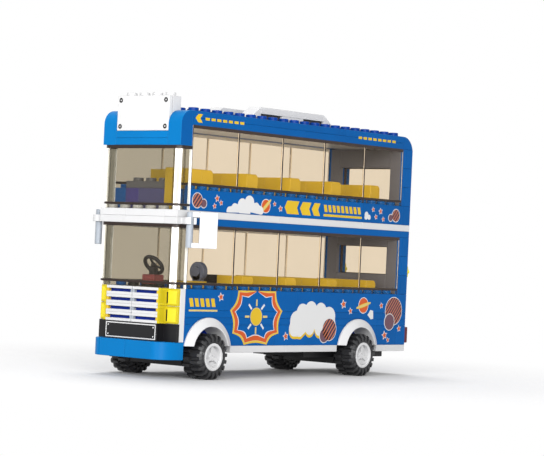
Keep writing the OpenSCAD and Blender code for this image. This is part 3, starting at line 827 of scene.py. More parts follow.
def tread_lug(sculpt, place, angle, width, base_r, top_r, middle, row, half):
    """A block on the tread that runs over the shoulder and a little down the side wall."""
    edge = 0.75
    side_r = base_r - 2.3
    # Outline across the tyre as (distance from the middle, radius)
    section = [(0.35, base_r - 0.3), (half - 0.75, base_r - 0.3), (half - 0.75, side_r),
               (half, side_r), (half, top_r - 1.7), (half - 1.2, top_r), (0.35, top_r)]
    verts = []
    for step in (-1, 1):
        for d, r in section:
            taper = edge / top_r if r > base_r else 0.0
            t = angle + step * (width / 2 - taper * 0.25)
            verts.append(place(r * math.cos(t), r * math.sin(t), middle + row * d, True))
    n = len(section)
    faces = [list(range(n)), [n + i for i in range(n)][::-1]]
    for i in range(n):
        j = (i + 1) % n
        faces.append([i, n + i, n + j, j])
    if (row > 0) != mirrors(place):
        faces = [f[::-1] for f in faces]
    points = np.array(verts)
    normals = []
    for f in faces:
        p = points[f]
        normal = sum(np.cross(p[i] - p[0], p[i + 1] - p[0]) for i in range(1, len(f) - 1))
        normals.append([tuple(normal)] * len(f))
    sculpt.add(verts, faces, normals, 0, 0)


for corner_name, axle, wheel_side in (("front_left", FRONT_AXLE, 1), ("front_right", FRONT_AXLE, -1),
                                      ("rear_left", REAR_AXLE, 1), ("rear_right", REAR_AXLE, -1)):
    wheel(corner_name, axle, wheel_side)


def mudguards(name, axle_x):
    low, high = span(name)
    foot = low[2]
    out_r = high[2]
    in_r = 12.0
    rim, lip = HALF_W + 1.0, high[1]
    sculpt = Sculpt()
    # Section through the guard: flat inside, flared towards its opening
    section = [(in_r, INNER_W), (out_r, INNER_W), (out_r, rim - 0.3), (out_r - 0.25, rim),
               (in_r + 0.5, lip - 0.05), (in_r + 0.15, lip), (in_r, lip - 0.25)]
    steps = 40
    for side in (1, -1):
        arcs = []
        for r, y in section:
            start = math.asin(min(foot / r, 1))
            angles = [start + (math.pi - 2 * start) * k / steps for k in range(steps + 1)]
            arcs.append([(axle_x + r * math.cos(t), side * y, r * math.sin(t), t) for t in angles])
        verts = [p[:3] for line in arcs for p in line]
        n, m = len(section), steps + 1
        faces, normals = [], []
        for i in range(n):
            j = (i + 1) % n
            nr, ny = (section[j][1] - section[i][1]), -(section[j][0] - section[i][0])
            size = math.hypot(nr, ny)
            nr, ny = nr / size, ny / size
            for k in range(steps):
                face = [i * m + k, j * m + k, j * m + k + 1, i * m + k + 1]
                t0, t1 = arcs[i][k][3], arcs[i][k + 1][3]
                n0 = (nr * math.cos(t0), side * ny, nr * math.sin(t0))
                n1 = (nr * math.cos(t1), side * ny, nr * math.sin(t1))
                corner = [n0, n0, n1, n1]
                if side < 0:
                    face, corner = face[::-1], corner[::-1]
                faces.append(face)
                normals.append(corner)
        for k, reverse in ((0, side > 0), (steps, side < 0)):
            loop = [i * m + k for i in range(n)]
            faces.append(loop[::-1] if reverse else loop)
            normals.append([(0, 0, -1)] * n)
        sculpt.add(verts, faces, normals, 0, 0)
    sculpt.build(name + "_moulding", "root", "white_plastic", [WHITE], [name])


mudguards("front_mudguards", FRONT_AXLE)
mudguards("rear_mudguards", REAR_AXLE)


# ---------------------------------------------------------------- roof

def roof():
    sculpt = Sculpt()
    r = 8.0
    middle = ROOF_Z + PLATE
    for y0, y1, mat in ((-HALF_W, -INNER_W, 0), (-INNER_W, INNER_W, 2), (INNER_W, HALF_W, 0)):
        brick_row(sculpt, [0, -10 * PITCH, -SIDE_L], (y0, y1), (ROOF_Z, middle), mat)
    brick_row(sculpt, [0, -6 * PITCH, -14 * PITCH, -SIDE_L], (-HALF_W, HALF_W), (middle, ROOF_TOP))
    for y0, y1 in ((-HALF_W, -PITCH), (-PITCH, PITCH), (PITCH, HALF_W)):
        sculpt.prism(tail_outline(r), y0, y1, across, 0.15)
    hatch_low, hatch_high = span("roof_hatch")
    rail_y = hatch_high[1] - PITCH / 2
    for i in range(int(round(SIDE_L / PITCH))):
        for j in range(6):
            x, y = -(i + 0.5) * PITCH, (j - 2.5) * PITCH
            beside = abs(abs(y) - rail_y) >= PITCH / 2
            if beside or not hatch_low[0] - STUD_R < x < hatch_high[0] + STUD_R:
                # Studs in the darker blue: painted shade.
                sculpt.stud(x, y, ROOF_TOP, 1)
    sculpt.build("roof_plates", "root", "blue_plastic", [BLUE, ROOF_STUD_SHADE_BLUE, WHITE], ["roof"])


def tail_outline(r):
    """Side view of the rounded roof end."""
    points = [(-SIDE_L, ROOF_Z), (-SIDE_L, ROOF_TOP)]
    points += [p for p in arc(TAIL_X + r, ROOF_TOP - r, r, 90, 180, 14) if p[1] >= ROOF_Z][1:]
    if points[-1][1] > ROOF_Z + 0.01:
        points.append((points[-1][0], ROOF_Z))
    return points


roof()


def roof_front():
    sculpt = Sculpt()
    low, high = span("roof_front")
    r = 6.4
    top = high[2]
    base = low[2] + PLATE
    sculpt.box((0, NOSE_X), (-INNER_W, INNER_W), (low[2], base))
    sculpt.box((0, NOSE_X), (-INNER_W, INNER_W), (base, span("sign_board")[0][2]))
    corner = [(0, top), (0, low[2]), (NOSE_X, low[2])] + arc(NOSE_X - r, top - r, r, 0, 90, 12)
    for side in (1, -1):
        y = sorted((side * INNER_W, side * HALF_W))
        # cap=1 gives the sideways ends of these azure corner pieces the darker blue: painted shade for the
        # sides that the front light misses.
        sculpt.prism(corner, y[0], y[1], across, 0.2, cap=1)
    sculpt.build("roof_front_bricks", "root", "azure_plastic", [AZURE, BLUE], ["roof_front"])


roof_front()


def sign():
    low, high = span("sign_board")
    back_low = span("sign_backing")[0]
    backing = Sculpt()
    for y0, y1 in ((-INNER_W, 0), (0, INNER_W)):
        backing.box((back_low[0], low[0] - 0.15), (y0, y1), (back_low[2], high[2]))
    for j in range(4):
        backing.stud((back_low[0] + low[0]) / 2, (j - 1.5) * PITCH, high[2])
    backing.build("sign_bricks", "root", "white_plastic", [WHITE], ["sign_backing"])
    board = Sculpt()
    board.box((low[0], high[0] - 0.12), (low[1], high[1]), (low[2], high[2]), 0.3)
    screw_y, screw_low, screw_high = 13.9, 2.0, 13.9
    for y in (-screw_y, screw_y):
        for z in (screw_low, screw_high):
            board.lathe([(0.4, 0), (1.12, 0), (1.12, 0.08), (1.06, 0.14), (0.46, 0.14), (0.4, 0.08)],
                        facing_front(high[0] - 0.14, y, low[2] + z), 24, 1)
    board.build("sign_face", "root", "white_plastic", [SIGN_WHITE, BLACK], ["sign_board"])


sign()


def rails():
    """Two roof rails sloped at both ends, with dark vents under their top plates."""
    low, high = span("roof_hatch")
    base, top = low[2], high[2]
    front, rear = high[0], low[0]
    slope, lip = PITCH, 0.8
    ramp_front = [(front, base), (front, base + lip), (front - slope, top), (front - slope, base)]
    ramp_rear = [(rear, base), (rear + slope, base), (rear + slope, top), (rear, base + lip)]
    starts = (rear + slope, front - slope - 2 * PITCH)
    gap = span("roof_vents")[1][2]
    white = Sculpt()
    dark = Sculpt()
    for side in (1, -1):
        y0, y1 = sorted((side * (high[1] - PITCH), side * high[1]))
        white.prism(ramp_front, y0, y1, across, 0.14)
        white.prism(ramp_rear, y0, y1, across, 0.14)
        for x0, x1 in ((rear + slope, rear + 4 * PITCH), (rear + 4 * PITCH, front - slope)):
            white.box((x0, x1), (y0, y1), (gap, top))
        white.box((starts[0] + 2 * PITCH, starts[1]), (y0, y1), (base, gap))
        for x0 in [start + k * PITCH for start in starts for k in (0, 1)]:
            dark.box((x0, x0 + PITCH), (y0 + 1.4, y1 - 1.4), (base, gap))
            for y in (y0 + 1.2, y1 - 1.2):
                for k in range(3):
                    z = base + 0.5 + 0.9 * k
                    dark.box((x0 + 0.8, x0 + PITCH - 0.8), (y - 0.25, y + 0.25), (z, z + 0.4), 0.08)
    white.build("rail_bricks", "root", "white_plastic", [WHITE], ["roof_hatch"])
    dark.build("rail_vents", "root", "grey_plastic", [GREY], ["roof_vents"])


rails()


# ---------------------------------------------------------------- nose

def bumper_bricks():
    low, high = span("bumper")
    steps = 14
    quarter = [(high[0] * math.cos(math.pi / 2 * i / steps),
                INNER_W + (HALF_W - INNER_W) * math.sin(math.pi / 2 * i / steps)) for i in range(steps + 1)]
    sculpt = Sculpt()
    sculpt.box((0, high[0]), (-INNER_W, 0), (low[2], high[2]), 0.25)
    sculpt.box((0, high[0]), (0, INNER_W), (low[2], high[2]), 0.25)
    left = [(0, INNER_W)] + quarter
    sculpt.prism(left, low[2], high[2], upright(0, 0, 0), 0.25)
    right = [(x, -y) for x, y in left][::-1]
    sculpt.prism(right, low[2], high[2], upright(0, 0, 0), 0.25)
    sculpt.build("bumper_bricks", "root", "azure_plastic", [AZURE], ["bumper"])


def front_panel():
    low, high = span("front_panel")
    sculpt = Sculpt()
    for y0, y1 in ((-HALF_W, -INNER_W), (-INNER_W, INNER_W), (INNER_W, HALF_W)):
        sculpt.box((low[0], high[0]), (y0, y1), (low[2], high[2]))
    sculpt.build("front_panel_plates", "root", "white_plastic", [WHITE], ["front_panel"])


def grille_tiles():
    low, high = span("grille")
    sculpt = Sculpt()
    rows = 4
    unit_h = (high[2] - low[2]) / rows
    bar = unit_h * 0.64
    for side in (-1, 1):
        y0, y1 = sorted((side * 0.05, side * INNER_W))
        for i in range(rows):
            z0 = low[2] + i * unit_h
            sculpt.box((low[0], high[0] - 2.0), (y0, y1), (z0, z0 + unit_h), 0.1, 1)
            for part in (z0 + 0.02, z0 + unit_h - bar / 2):
                sculpt.box((low[0], high[0]), (y0 + 0.1, y1 - 0.1), (part, part + bar / 2), 0.12)
            for y, mat in ((side * 0.6, 3), (side * (INNER_W - 0.6), 2)):
                sculpt.box((low[0], high[0] - 0.25), (y - 0.5, y + 0.5), (z0, z0 + unit_h), 0.1, mat)
    sculpt.build("grille_tiles", "root", "white_plastic", [WHITE, NAVY, YELLOW, LIGHT_GREY], ["grille"])


def headlights():
    base_x = span("front_panel")[1][0]
    low, high = span("headlights")
    sculpt = Sculpt()
    unit_h = (high[2] - low[2]) / 2
    face_x = base_x + 2.0
    for side in (-1, 1):
        y0, y1 = sorted((side * INNER_W, side * HALF_W))
        for i in (0, 1):
            z0 = low[2] + i * unit_h
            body_z = (z0 + 0.05, z0 + unit_h - 0.05)
            sculpt.box((base_x, face_x - 0.3), (y0 + 0.05, y1 - 0.05), body_z, 0.3, 1)
            lens = sorted((side * (INNER_W + 2.1), side * (HALF_W - 0.8)))
            sculpt.box((face_x - 0.5, face_x), lens, (z0 + 0.9, z0 + unit_h - 0.9), 0.25, 0)
            # A thin black strip beside the lens: painted shade, the dark band on the round stud inside the
            # clear lamp.
            d0, d1 = sorted((side * (INNER_W + 1.3), side * (INNER_W + 2.0)))
            sculpt.box((face_x - 0.35, face_x - 0.1), (d0, d1), (z0 + 1.2, z0 + unit_h - 1.6), 0.05, 2)
            w0, w1 = sorted((side * INNER_W, side * (INNER_W + 1.2)))
            inner_half = (w0, (w0 + w1) / 2) if side > 0 else ((w0 + w1) / 2, w1)
            sculpt.box((face_x, high[0]), inner_half, body_z, 0.12, 1)
            for z in (z0 + 0.05, z0 + unit_h - 1.35):
                sculpt.box((face_x, high[0]), (w0, w1), (z, z + 1.3), 0.15, 1)
    sculpt.build("headlight_bricks", "root", "clear_yellow", [LAMP, AMBER, BLACK], ["headlights"])


def number_plate():
    low, high = span("number_plate")
    sculpt = Sculpt()
    sculpt.box((low[0], high[0] - 0.12), (low[1], high[1]), (low[2], high[2]), 0.25)
    rim = 0.5
    inset = 0.55
    face = (high[0] - 0.14, high[0] - 0.04)
    y0, y1 = low[1] + inset, high[1] - inset
    z0, z1 = low[2] + inset, high[2] - inset
    for y, z in rim_bars((y0, y1), (z0, z1), rim):
        sculpt.box(face, y, z, 0.03, 1)
    for y in (y0 + 1.5, y1 - 1.5):
        for z in (z0 + 1.4, z1 - 1.4):
            sculpt.cylinder(0.34, 0, 0.1, facing_front(face[0], y, z), 0.03, 16, 1)
    sculpt.build("number_plate_tile", "root", "black_plastic", [BLACK, STICKER_WHITE], ["number_plate"])


bumper_bricks()
front_panel()
grille_tiles()
headlights()
number_plate()


CLIP_R = 2.9
BAR_R = 1.66
CLIP_OUT = 4.2


def front_band():
    sculpt = Sculpt()
    for z0, z1 in ((DECK_Z, STRIPE_Z), (STRIPE_Z, UPPER_Z)):
        for y0, y1 in ((-HALF_W, -INNER_W + PITCH), (-INNER_W + PITCH, INNER_W), (INNER_W, HALF_W)):
            sculpt.box((0, NOSE_X), (y0, y1), (z0, z1))
    for j in range(6):
        sculpt.stud(NOSE_X / 2, (j - 2.5) * PITCH, UPPER_Z)
    clip_x, clip_y = NOSE_X / 2, HALF_W + CLIP_OUT
    for side in (1, -1):
        place = upright(clip_x, side * clip_y, 0)
        turns = [math.radians(40 + 280 * k / 26) for k in range(27)]
        points = [(CLIP_R * math.sin(t), side * CLIP_R * math.cos(t)) for t in turns]
        points += [(BAR_R * math.sin(t), side * BAR_R * math.cos(t)) for t in turns[::-1]]
        sculpt.prism(points, DECK_Z + 0.05, STRIPE_Z - 0.05, place, 0.15)
        y0, y1 = sorted((side * (HALF_W - 0.2), side * (clip_y - 2.2)))
        sculpt.box((clip_x - 1.6, clip_x + 1.6), (y0, y1), (DECK_Z + 0.1, STRIPE_Z - 0.1))
    sculpt.build("front_band_plates", "root", "white_plastic", [WHITE], ["front_band"])


front_band()


def mirror(side):
    name = "left_mirror" if side > 0 else "right_mirror"
    low, high = span(name)
    z0, z1 = low[2], high[2]
    bar_x, bar_y = NOSE_X / 2, side * (HALF_W + CLIP_OUT)
    diagonal = math.sqrt(0.5)

    def turn(p, moved):
        """x runs out from the bar towards the rear and outside, y across it."""
        x, y, z = p
        gx, gy = -diagonal * x - diagonal * y, side * (diagonal * x - diagonal * y)
        return (bar_x + gx, bar_y + gy, z) if moved else (gx, gy, z)

    sculpt = Sculpt()
    sculpt.cylinder(1.58, z0, z1, upright(bar_x, bar_y, 0), 0.2, 28, 1)
    boxes = [((0.6, 4.4), (-1.2, 1.2), (z0, z0 + 2.3)), ((0.6, 4.4), (-1.2, 1.2), (z1 - 2.3, z1)),
             ((4.3, 12.3), (-1.6, 1.6), (z0, z1))]
    for x, y, z in boxes:
        sculpt.box(x, y, z, 0.18, turn=turn)
    sculpt.build(name + "_piece", "root", "white_plastic", [WHITE, LIGHT_GREY], [name])


mirror(1)
mirror(-1)


# ---------------------------------------------------------------- tail

LINING = 2.4
REAR_SKIN = (TAIL_X, -SIDE_L - LINING)
LINED_W = HALF_W - GLASS - 0.1
LOWER_PANE = (SILL_TOP + 3 * PLATE, SILL_TOP + 3 * PLATE + (DECK_Z - SILL_TOP) / 2)
UPPER_PANE = (BAND_TOP, ROOF_Z - 3 * PLATE)


def lining(sculpt, z0, z1, z2, z3):
    """Grey bricks that line the rear wall inside, around its window from z1 to z2."""
    x = (-SIDE_L - LINING, -SIDE_L)
    for y in ((-LINED_W, -INNER_W), (INNER_W, LINED_W)):
        sculpt.box(x, y, (z0, z3), mat=1)
    sculpt.box(x, (-INNER_W, INNER_W), (z0, z1), mat=1)
    sculpt.box(x, (-INNER_W, INNER_W), (z2, z3), mat=1)


def rear_corners(sculpt, levels):
    """Corner bricks from each level up, with a thinner inner part that clears the side panes."""
    for z0 in levels:
        for side in (1, -1):
            sculpt.box(REAR_SKIN, (side * INNER_W, side * HALF_W), (z0, z0 + 3 * PLATE))
            sculpt.box((REAR_SKIN[1], -SIDE_L), (side * LINED_W, side * HALF_W), (z0, z0 + 3 * PLATE))


def rear_wall_lower():
    sculpt = Sculpt()
    bricks = [PLATE, 4 * PLATE, 5 * PLATE, 6 * PLATE, SILL_TOP]
    for z in zip(bricks, bricks[1:]):
        for y in ((-HALF_W, -INNER_W), (-INNER_W, 0), (0, INNER_W), (INNER_W, HALF_W)):
            sculpt.box((TAIL_X, -SIDE_L), y, z)
    rear_corners(sculpt, np.arange(SILL_TOP, DECK_Z - 1, 3 * PLATE))
    sculpt.box(REAR_SKIN, (-INNER_W, 0), (SILL_TOP, LOWER_PANE[0]))
    sculpt.box(REAR_SKIN, (0, INNER_W), (SILL_TOP, LOWER_PANE[0]))
    sculpt.box(REAR_SKIN, (-INNER_W, INNER_W), (LOWER_PANE[1], DECK_Z))
    lining(sculpt, SILL_TOP, *LOWER_PANE, DECK_Z)
    sculpt.build("rear_wall_bricks", "root", "blue_plastic", [BLUE, LINING_GREY], ["rear_wall_lower"])


def rear_wall_upper():
    sculpt = Sculpt()
    rear_corners(sculpt, [UPPER_Z] + list(np.arange(BAND_TOP, ROOF_Z - 1, 3 * PLATE)))
    sculpt.box(REAR_SKIN, (-INNER_W, INNER_W), (UPPER_Z, UPPER_PANE[0]))
    sculpt.box(REAR_SKIN, (-INNER_W, INNER_W), (UPPER_PANE[1], ROOF_Z))
    lining(sculpt, UPPER_Z, *UPPER_PANE, ROOF_Z)
    sculpt.build("rear_upper_bricks", "root", "blue_plastic", [BLUE, LINING_GREY], ["rear_wall_upper"])


def rear_windows():
    low, high = span("rear_windows")
    sculpt = Sculpt()
    pane_x = (low[0], high[0])
    y0, y1 = -INNER_W + 0.05, INNER_W - 0.05
    rim = 0.35
    for z0, z1 in (LOWER_PANE, UPPER_PANE):
        sculpt.box(pane_x, (y0 + rim, y1 - rim), (z0 + rim, z1 - rim), 0.02, 0)
        for y, z in rim_bars((y0, y1), (z0, z1), rim):
            sculpt.box(pane_x, y, z, 0.1, 1)
    sculpt.build("rear_panes", "root", "clear_brown", [PANE, PANE_EDGE], ["rear_windows"])


def rear_lamps():
    low, high = span("rear_lamps")
    lamp_z = (low[2] + high[2]) / 2
    lamp_r = (high[2] - low[2]) / 2
    out = high[0] - low[0]
    sculpt = Sculpt()
    for side in (1, -1):
        rearward = facing_rear(TAIL_X, side * (HALF_W - PITCH / 2), lamp_z)
        petals = 8
        flutes = [(lamp_r * (0.93 + 0.07 * math.cos(petals * t)) * math.cos(t),
                   lamp_r * (0.93 + 0.07 * math.cos(petals * t)) * math.sin(t))
                  for t in [2 * math.pi * k / 64 for k in range(64)]]
        sculpt.prism(flutes, 0, out * 0.62, rearward, 0.2, 0)
        sculpt.cylinder(STUD_R, out * 0.5, out, rearward, 0.25, 28, 0)
    sculpt.build("rear_lamp_pieces", "root", "clear_yellow", [LAMP], ["rear_lamps"])


def tail_markers():
    low, high = span("tail_markers")
    sculpt = Sculpt()
    for side in (1, -1):
        y0, y1 = sorted((side * INNER_W, side * HALF_W))
        sculpt.box((low[0], high[0]), (y0 + 0.05, y1 - 0.05), (low[2], high[2]), 0.3)
    sculpt.build("tail_marker_tiles", "root", "dark_red", [RED], ["tail_markers"])


rear_wall_lower()
rear_wall_upper()
rear_windows()
rear_lamps()
tail_markers()


# ---------------------------------------------------------------- inside

def bench(sculpt, rear_x, y, floor, top, cushion_top):
    """A seat of stacked bricks with a rounded back."""
    r = 2.0
    y0, y1 = y
    outline = [(rear_x, floor), (rear_x + PITCH, floor), (rear_x + PITCH, top)] \
        + arc(rear_x + r, top - r, r, 90, 180, 8)
    middle = (y0 + y1) / 2
    for a, b in ((y0, middle), (middle, y1)):
        sculpt.prism(outline, a, b, across, 0.2)
        sculpt.box((rear_x + PITCH, rear_x + 2 * PITCH), (a, b), (floor, cushion_top), 0.2)


def upper_benches():
    high = span("upper_seats")[1]
    sculpt = Sculpt()
    for i in range(BAYS):
        bench(sculpt, -(i + 1) * BAY + PITCH, (-INNER_W, INNER_W), UPPER_Z, high[2], UPPER_Z + 3 * PLATE)
    sculpt.box((-2 * PITCH, 0), (INNER_W - PITCH, INNER_W), (UPPER_Z, high[2]), 0.2)
    sculpt.build("upper_bench_bricks", "root", "yellow_plastic", [YELLOW], ["upper_seats"])


def lower_benches():
    high = span("lower_seats")[1]
    sculpt = Sculpt()
    for i in range(1, BAYS):
        y0 = 0 if i == 1 else -INNER_W
        half = INNER_W - PITCH if abs(-(i + 1) * BAY + PITCH - REAR_AXLE) < 4 * PITCH else INNER_W
        rear = -(i + 1) * BAY + PITCH
        bench(sculpt, rear, (y0, INNER_W), 5 * PLATE, high[2], 7 * PLATE)
        sculpt.box((rear, rear + 2 * PITCH), (max(y0, -half), half), (PLATE, 5 * PLATE), 0.2)
    sculpt.build("lower_bench_bricks", "root", "yellow_plastic", [YELLOW], ["lower_seats"])


def deck_box():
    high = span("deck_box")[1]
    sculpt = Sculpt()
    top = high[2] - STUD_H
    sculpt.box((-PITCH, 0), (-INNER_W, -PITCH), (UPPER_Z, top - PLATE))
    sculpt.box((-PITCH, 0), (-PITCH, INNER_W - PITCH), (UPPER_Z, top - PLATE), mat=1)
    sculpt.box((-PITCH, 0), (-INNER_W, INNER_W - PITCH), (top - PLATE, top), mat=2)
    for j in range(3):
        sculpt.stud(-PITCH / 2, -INNER_W + (j + 0.5) * PITCH, top, 2)
    sculpt.build("deck_box_bricks", "root", "navy_plastic", [VIOLET, DUSK, LINING_GREY], ["deck_box"])


def dashboard():
    high = span("dashboard")[1]
    sculpt = Sculpt()
    top = high[2] - STUD_H
    sculpt.box((-PITCH, 0), (-INNER_W, INNER_W), (top - PLATE, top))
    sculpt.box((-PITCH, 0), (-INNER_W, INNER_W), (5 * PLATE, top - PLATE))
    sculpt.box((-PITCH, 0), (-INNER_W + PITCH, INNER_W - PITCH), (PLATE, 5 * PLATE))
    for j in range(4):
        sculpt.stud(-PITCH / 2, (j - 1.5) * PITCH, top)
    sculpt.build("dashboard_bricks", "root", "black_plastic", [BLACK], ["dashboard"])


def aisle_block():
    low, high = span("aisle_block")
    sculpt = Sculpt()
    for k in range(3):
        step = (high[2] - low[2]) / 3
        sculpt.box((low[0], high[0]), (low[1], high[1]), (low[2] + k * step, low[2] + (k + 1) * step))
    sculpt.build("aisle_bricks", "root", "black_plastic", [BLACK], ["aisle_block"])


def driver_seat():
    low, high = span("driver_seat")
    sculpt = Sculpt()
    sculpt.box((low[0], high[0]), (low[1], high[1]), (high[2] - PLATE, high[2]))
    sculpt.box((low[0], high[0]), (low[1], high[1]), (low[2], high[2] - PLATE), mat=1)
    sculpt.build("driver_seat_bricks", "root", "yellow_plastic", [YELLOW, BLACK], ["driver_seat"])


def driver_backrest():
    low, high = span("driver_backrest")
    sculpt = Sculpt()
    mid_y, r = (low[1] + high[1]) / 2, (high[1] - low[1]) / 2
    forward = facing_front(low[0], mid_y, high[2] - r)
    sculpt.cylinder(r, 0, high[0] - low[0], forward, 0.4, 40)
    sculpt.cylinder(STUD_R, high[0] - low[0] - 0.05, high[0] - low[0] + 1.0, forward, 0.2, 24)
    sculpt.box((low[0], high[0]), (mid_y - STUD_R, mid_y + STUD_R), (low[2], high[2] - r), 0.1)
    sculpt.build("driver_back_disc", "root", "grey_plastic", [STEEL_BLUE], ["driver_backrest"])


def steering_wheel():
    sculpt = Sculpt()
    centre = np.array([-PITCH / 2, 0, SILL_TOP + 10])
    tilt = math.radians(-50)
    ct, st = math.cos(tilt), math.sin(tilt)

    def tilted(u, v, w, moved):
        x, z = u * ct + w * st, -u * st + w * ct
        return (centre[0] + x, centre[1] + v, centre[2] + z) if moved else (x, v, z)
    ring = [(4.7 + 0.9 * math.cos(t), 0.9 * math.sin(t)) for t in [2 * math.pi * k / 12 for k in range(12)]]
    sculpt.lathe(ring, tilted, 40)
    sculpt.cylinder(1.3, -0.6, 0.6, tilted, 0.2, 20)
    for angle in (0, 120, 240):
        blade = [(0.8, -0.6), (4.2, -0.5), (4.2, 0.5), (0.8, 0.6)]
        sculpt.prism(turned(blade, math.radians(angle)), -0.3, 0.35, tilted, 0.1)
    sculpt.box((-PITCH / 2 - 1.5, -PITCH / 2 + 1.5), (-1.5, 1.5), (SILL_TOP, SILL_TOP + 9.0), mat=0)
    sculpt.box((-PITCH + 0.6, -0.3), (-3.6, 3.6), (SILL_TOP + 1.2, SILL_TOP + 5.6), 0.3, 1)
    sculpt.build("steering_wheel_piece", "root", "grey_plastic", [GREY, MAROON], ["steering_wheel"])


upper_benches()
lower_benches()
deck_box()
dashboard()
aisle_block()
driver_seat()
driver_backrest()
steering_wheel()


# ---------------------------------------------------------------- underside

def plate_below(sculpt, x, y, z, mat=0):
    """A plate seen from below: a rim, a web above it and a tube at every grid crossing."""
    x0, x1 = sorted(x)
    y0, y1 = sorted(y)
    z0, z1 = z
    rim, web = 1.4, 1.2
    sculpt.box((x0, x1), (y0, y1), (z1 - web, z1), mat=mat)
    for a, b in rim_bars((x0, x1), (y0, y1), rim):
        sculpt.box(a, b, (z0, z1 - web + 0.05), 0.12, mat)
    columns = int(round((x1 - x0) / PITCH))
    rows = int(round((y1 - y0) / PITCH))
    for i in range(1, columns):
        for j in range(1, rows):
            sculpt.lathe([(2.4, z0 + 0.1), (3.25, z0 + 0.1), (3.25, z1 - web + 0.05), (2.4, z1 - web + 0.05)],
                         upright(x0 + i * PITCH, y0 + j * PITCH, 0), 20, mat)


def carriers():
    for name, axle in (("front_axle_carrier", FRONT_AXLE), ("rear_axle_carrier", REAR_AXLE)):
        low, high = span(name)
        sculpt = Sculpt()
        x_low, x_high = low[0], high[0]
        for x in ((x_low, axle - PITCH), (axle + PITCH, x_high)):
            plate_below(sculpt, x, (-INNER_W, INNER_W), (-PLATE, 0))
        sculpt.box((axle - PITCH, axle + PITCH), (-INNER_W, INNER_W), (-PLATE, 0))
        sculpt.box((axle - PITCH, axle + PITCH), (-INNER_W, 0), (-2 * PLATE, -PLATE))
        sculpt.box((axle - PITCH, axle + PITCH), (0, INNER_W), (-2 * PLATE, -PLATE))
        hub_high = span("front_left_hub")[1]
        for side in (1, -1):
            sculpt.cylinder(2.38, INNER_W - 1, hub_high[1] - 3.6, around_axle(axle, AXLE_Z, side),
                            0.4, 28)
        sculpt.build(name + "_plates", "root", "black_plastic", [BLACK], [name])


carriers()


def floor_plates():
    sculpt = Sculpt()
    rear_high = span("rear_axle_carrier")[1]
    front_low = span("front_axle_carrier")[0]
    sculpt.box((front_low[0], 0), (-INNER_W, INNER_W), (0, PLATE))
    plate_below(sculpt, (rear_high[0], front_low[0]), (-INNER_W, INNER_W), (0, PLATE))
    sculpt.box((-SIDE_L, rear_high[0]), (-INNER_W, INNER_W), (0, PLATE))
    sculpt.build("floor_plates", "root", "navy_plastic", [NAVY], ["floor_plate"])


def wheel_boxes():
    sculpt = Sculpt()
    high = span("wheel_boxes")[1]
    for axle in (FRONT_AXLE, REAR_AXLE):
        for side in (1, -1):
            y = (side * (INNER_W - PITCH), side * INNER_W)
            for x0 in (axle - 2 * PITCH, axle):
                sculpt.box((x0, x0 + 2 * PITCH), y, (PLATE, 4 * PLATE))
                sculpt.box((x0, x0 + 2 * PITCH), y, (4 * PLATE, high[2]))
    sculpt.build("wheel_box_bricks", "root", "navy_plastic", [NAVY], ["wheel_boxes"])


floor_plates()
wheel_boxes()


# ---------------------------------------------------------------- stickers

LAYER = 0.035


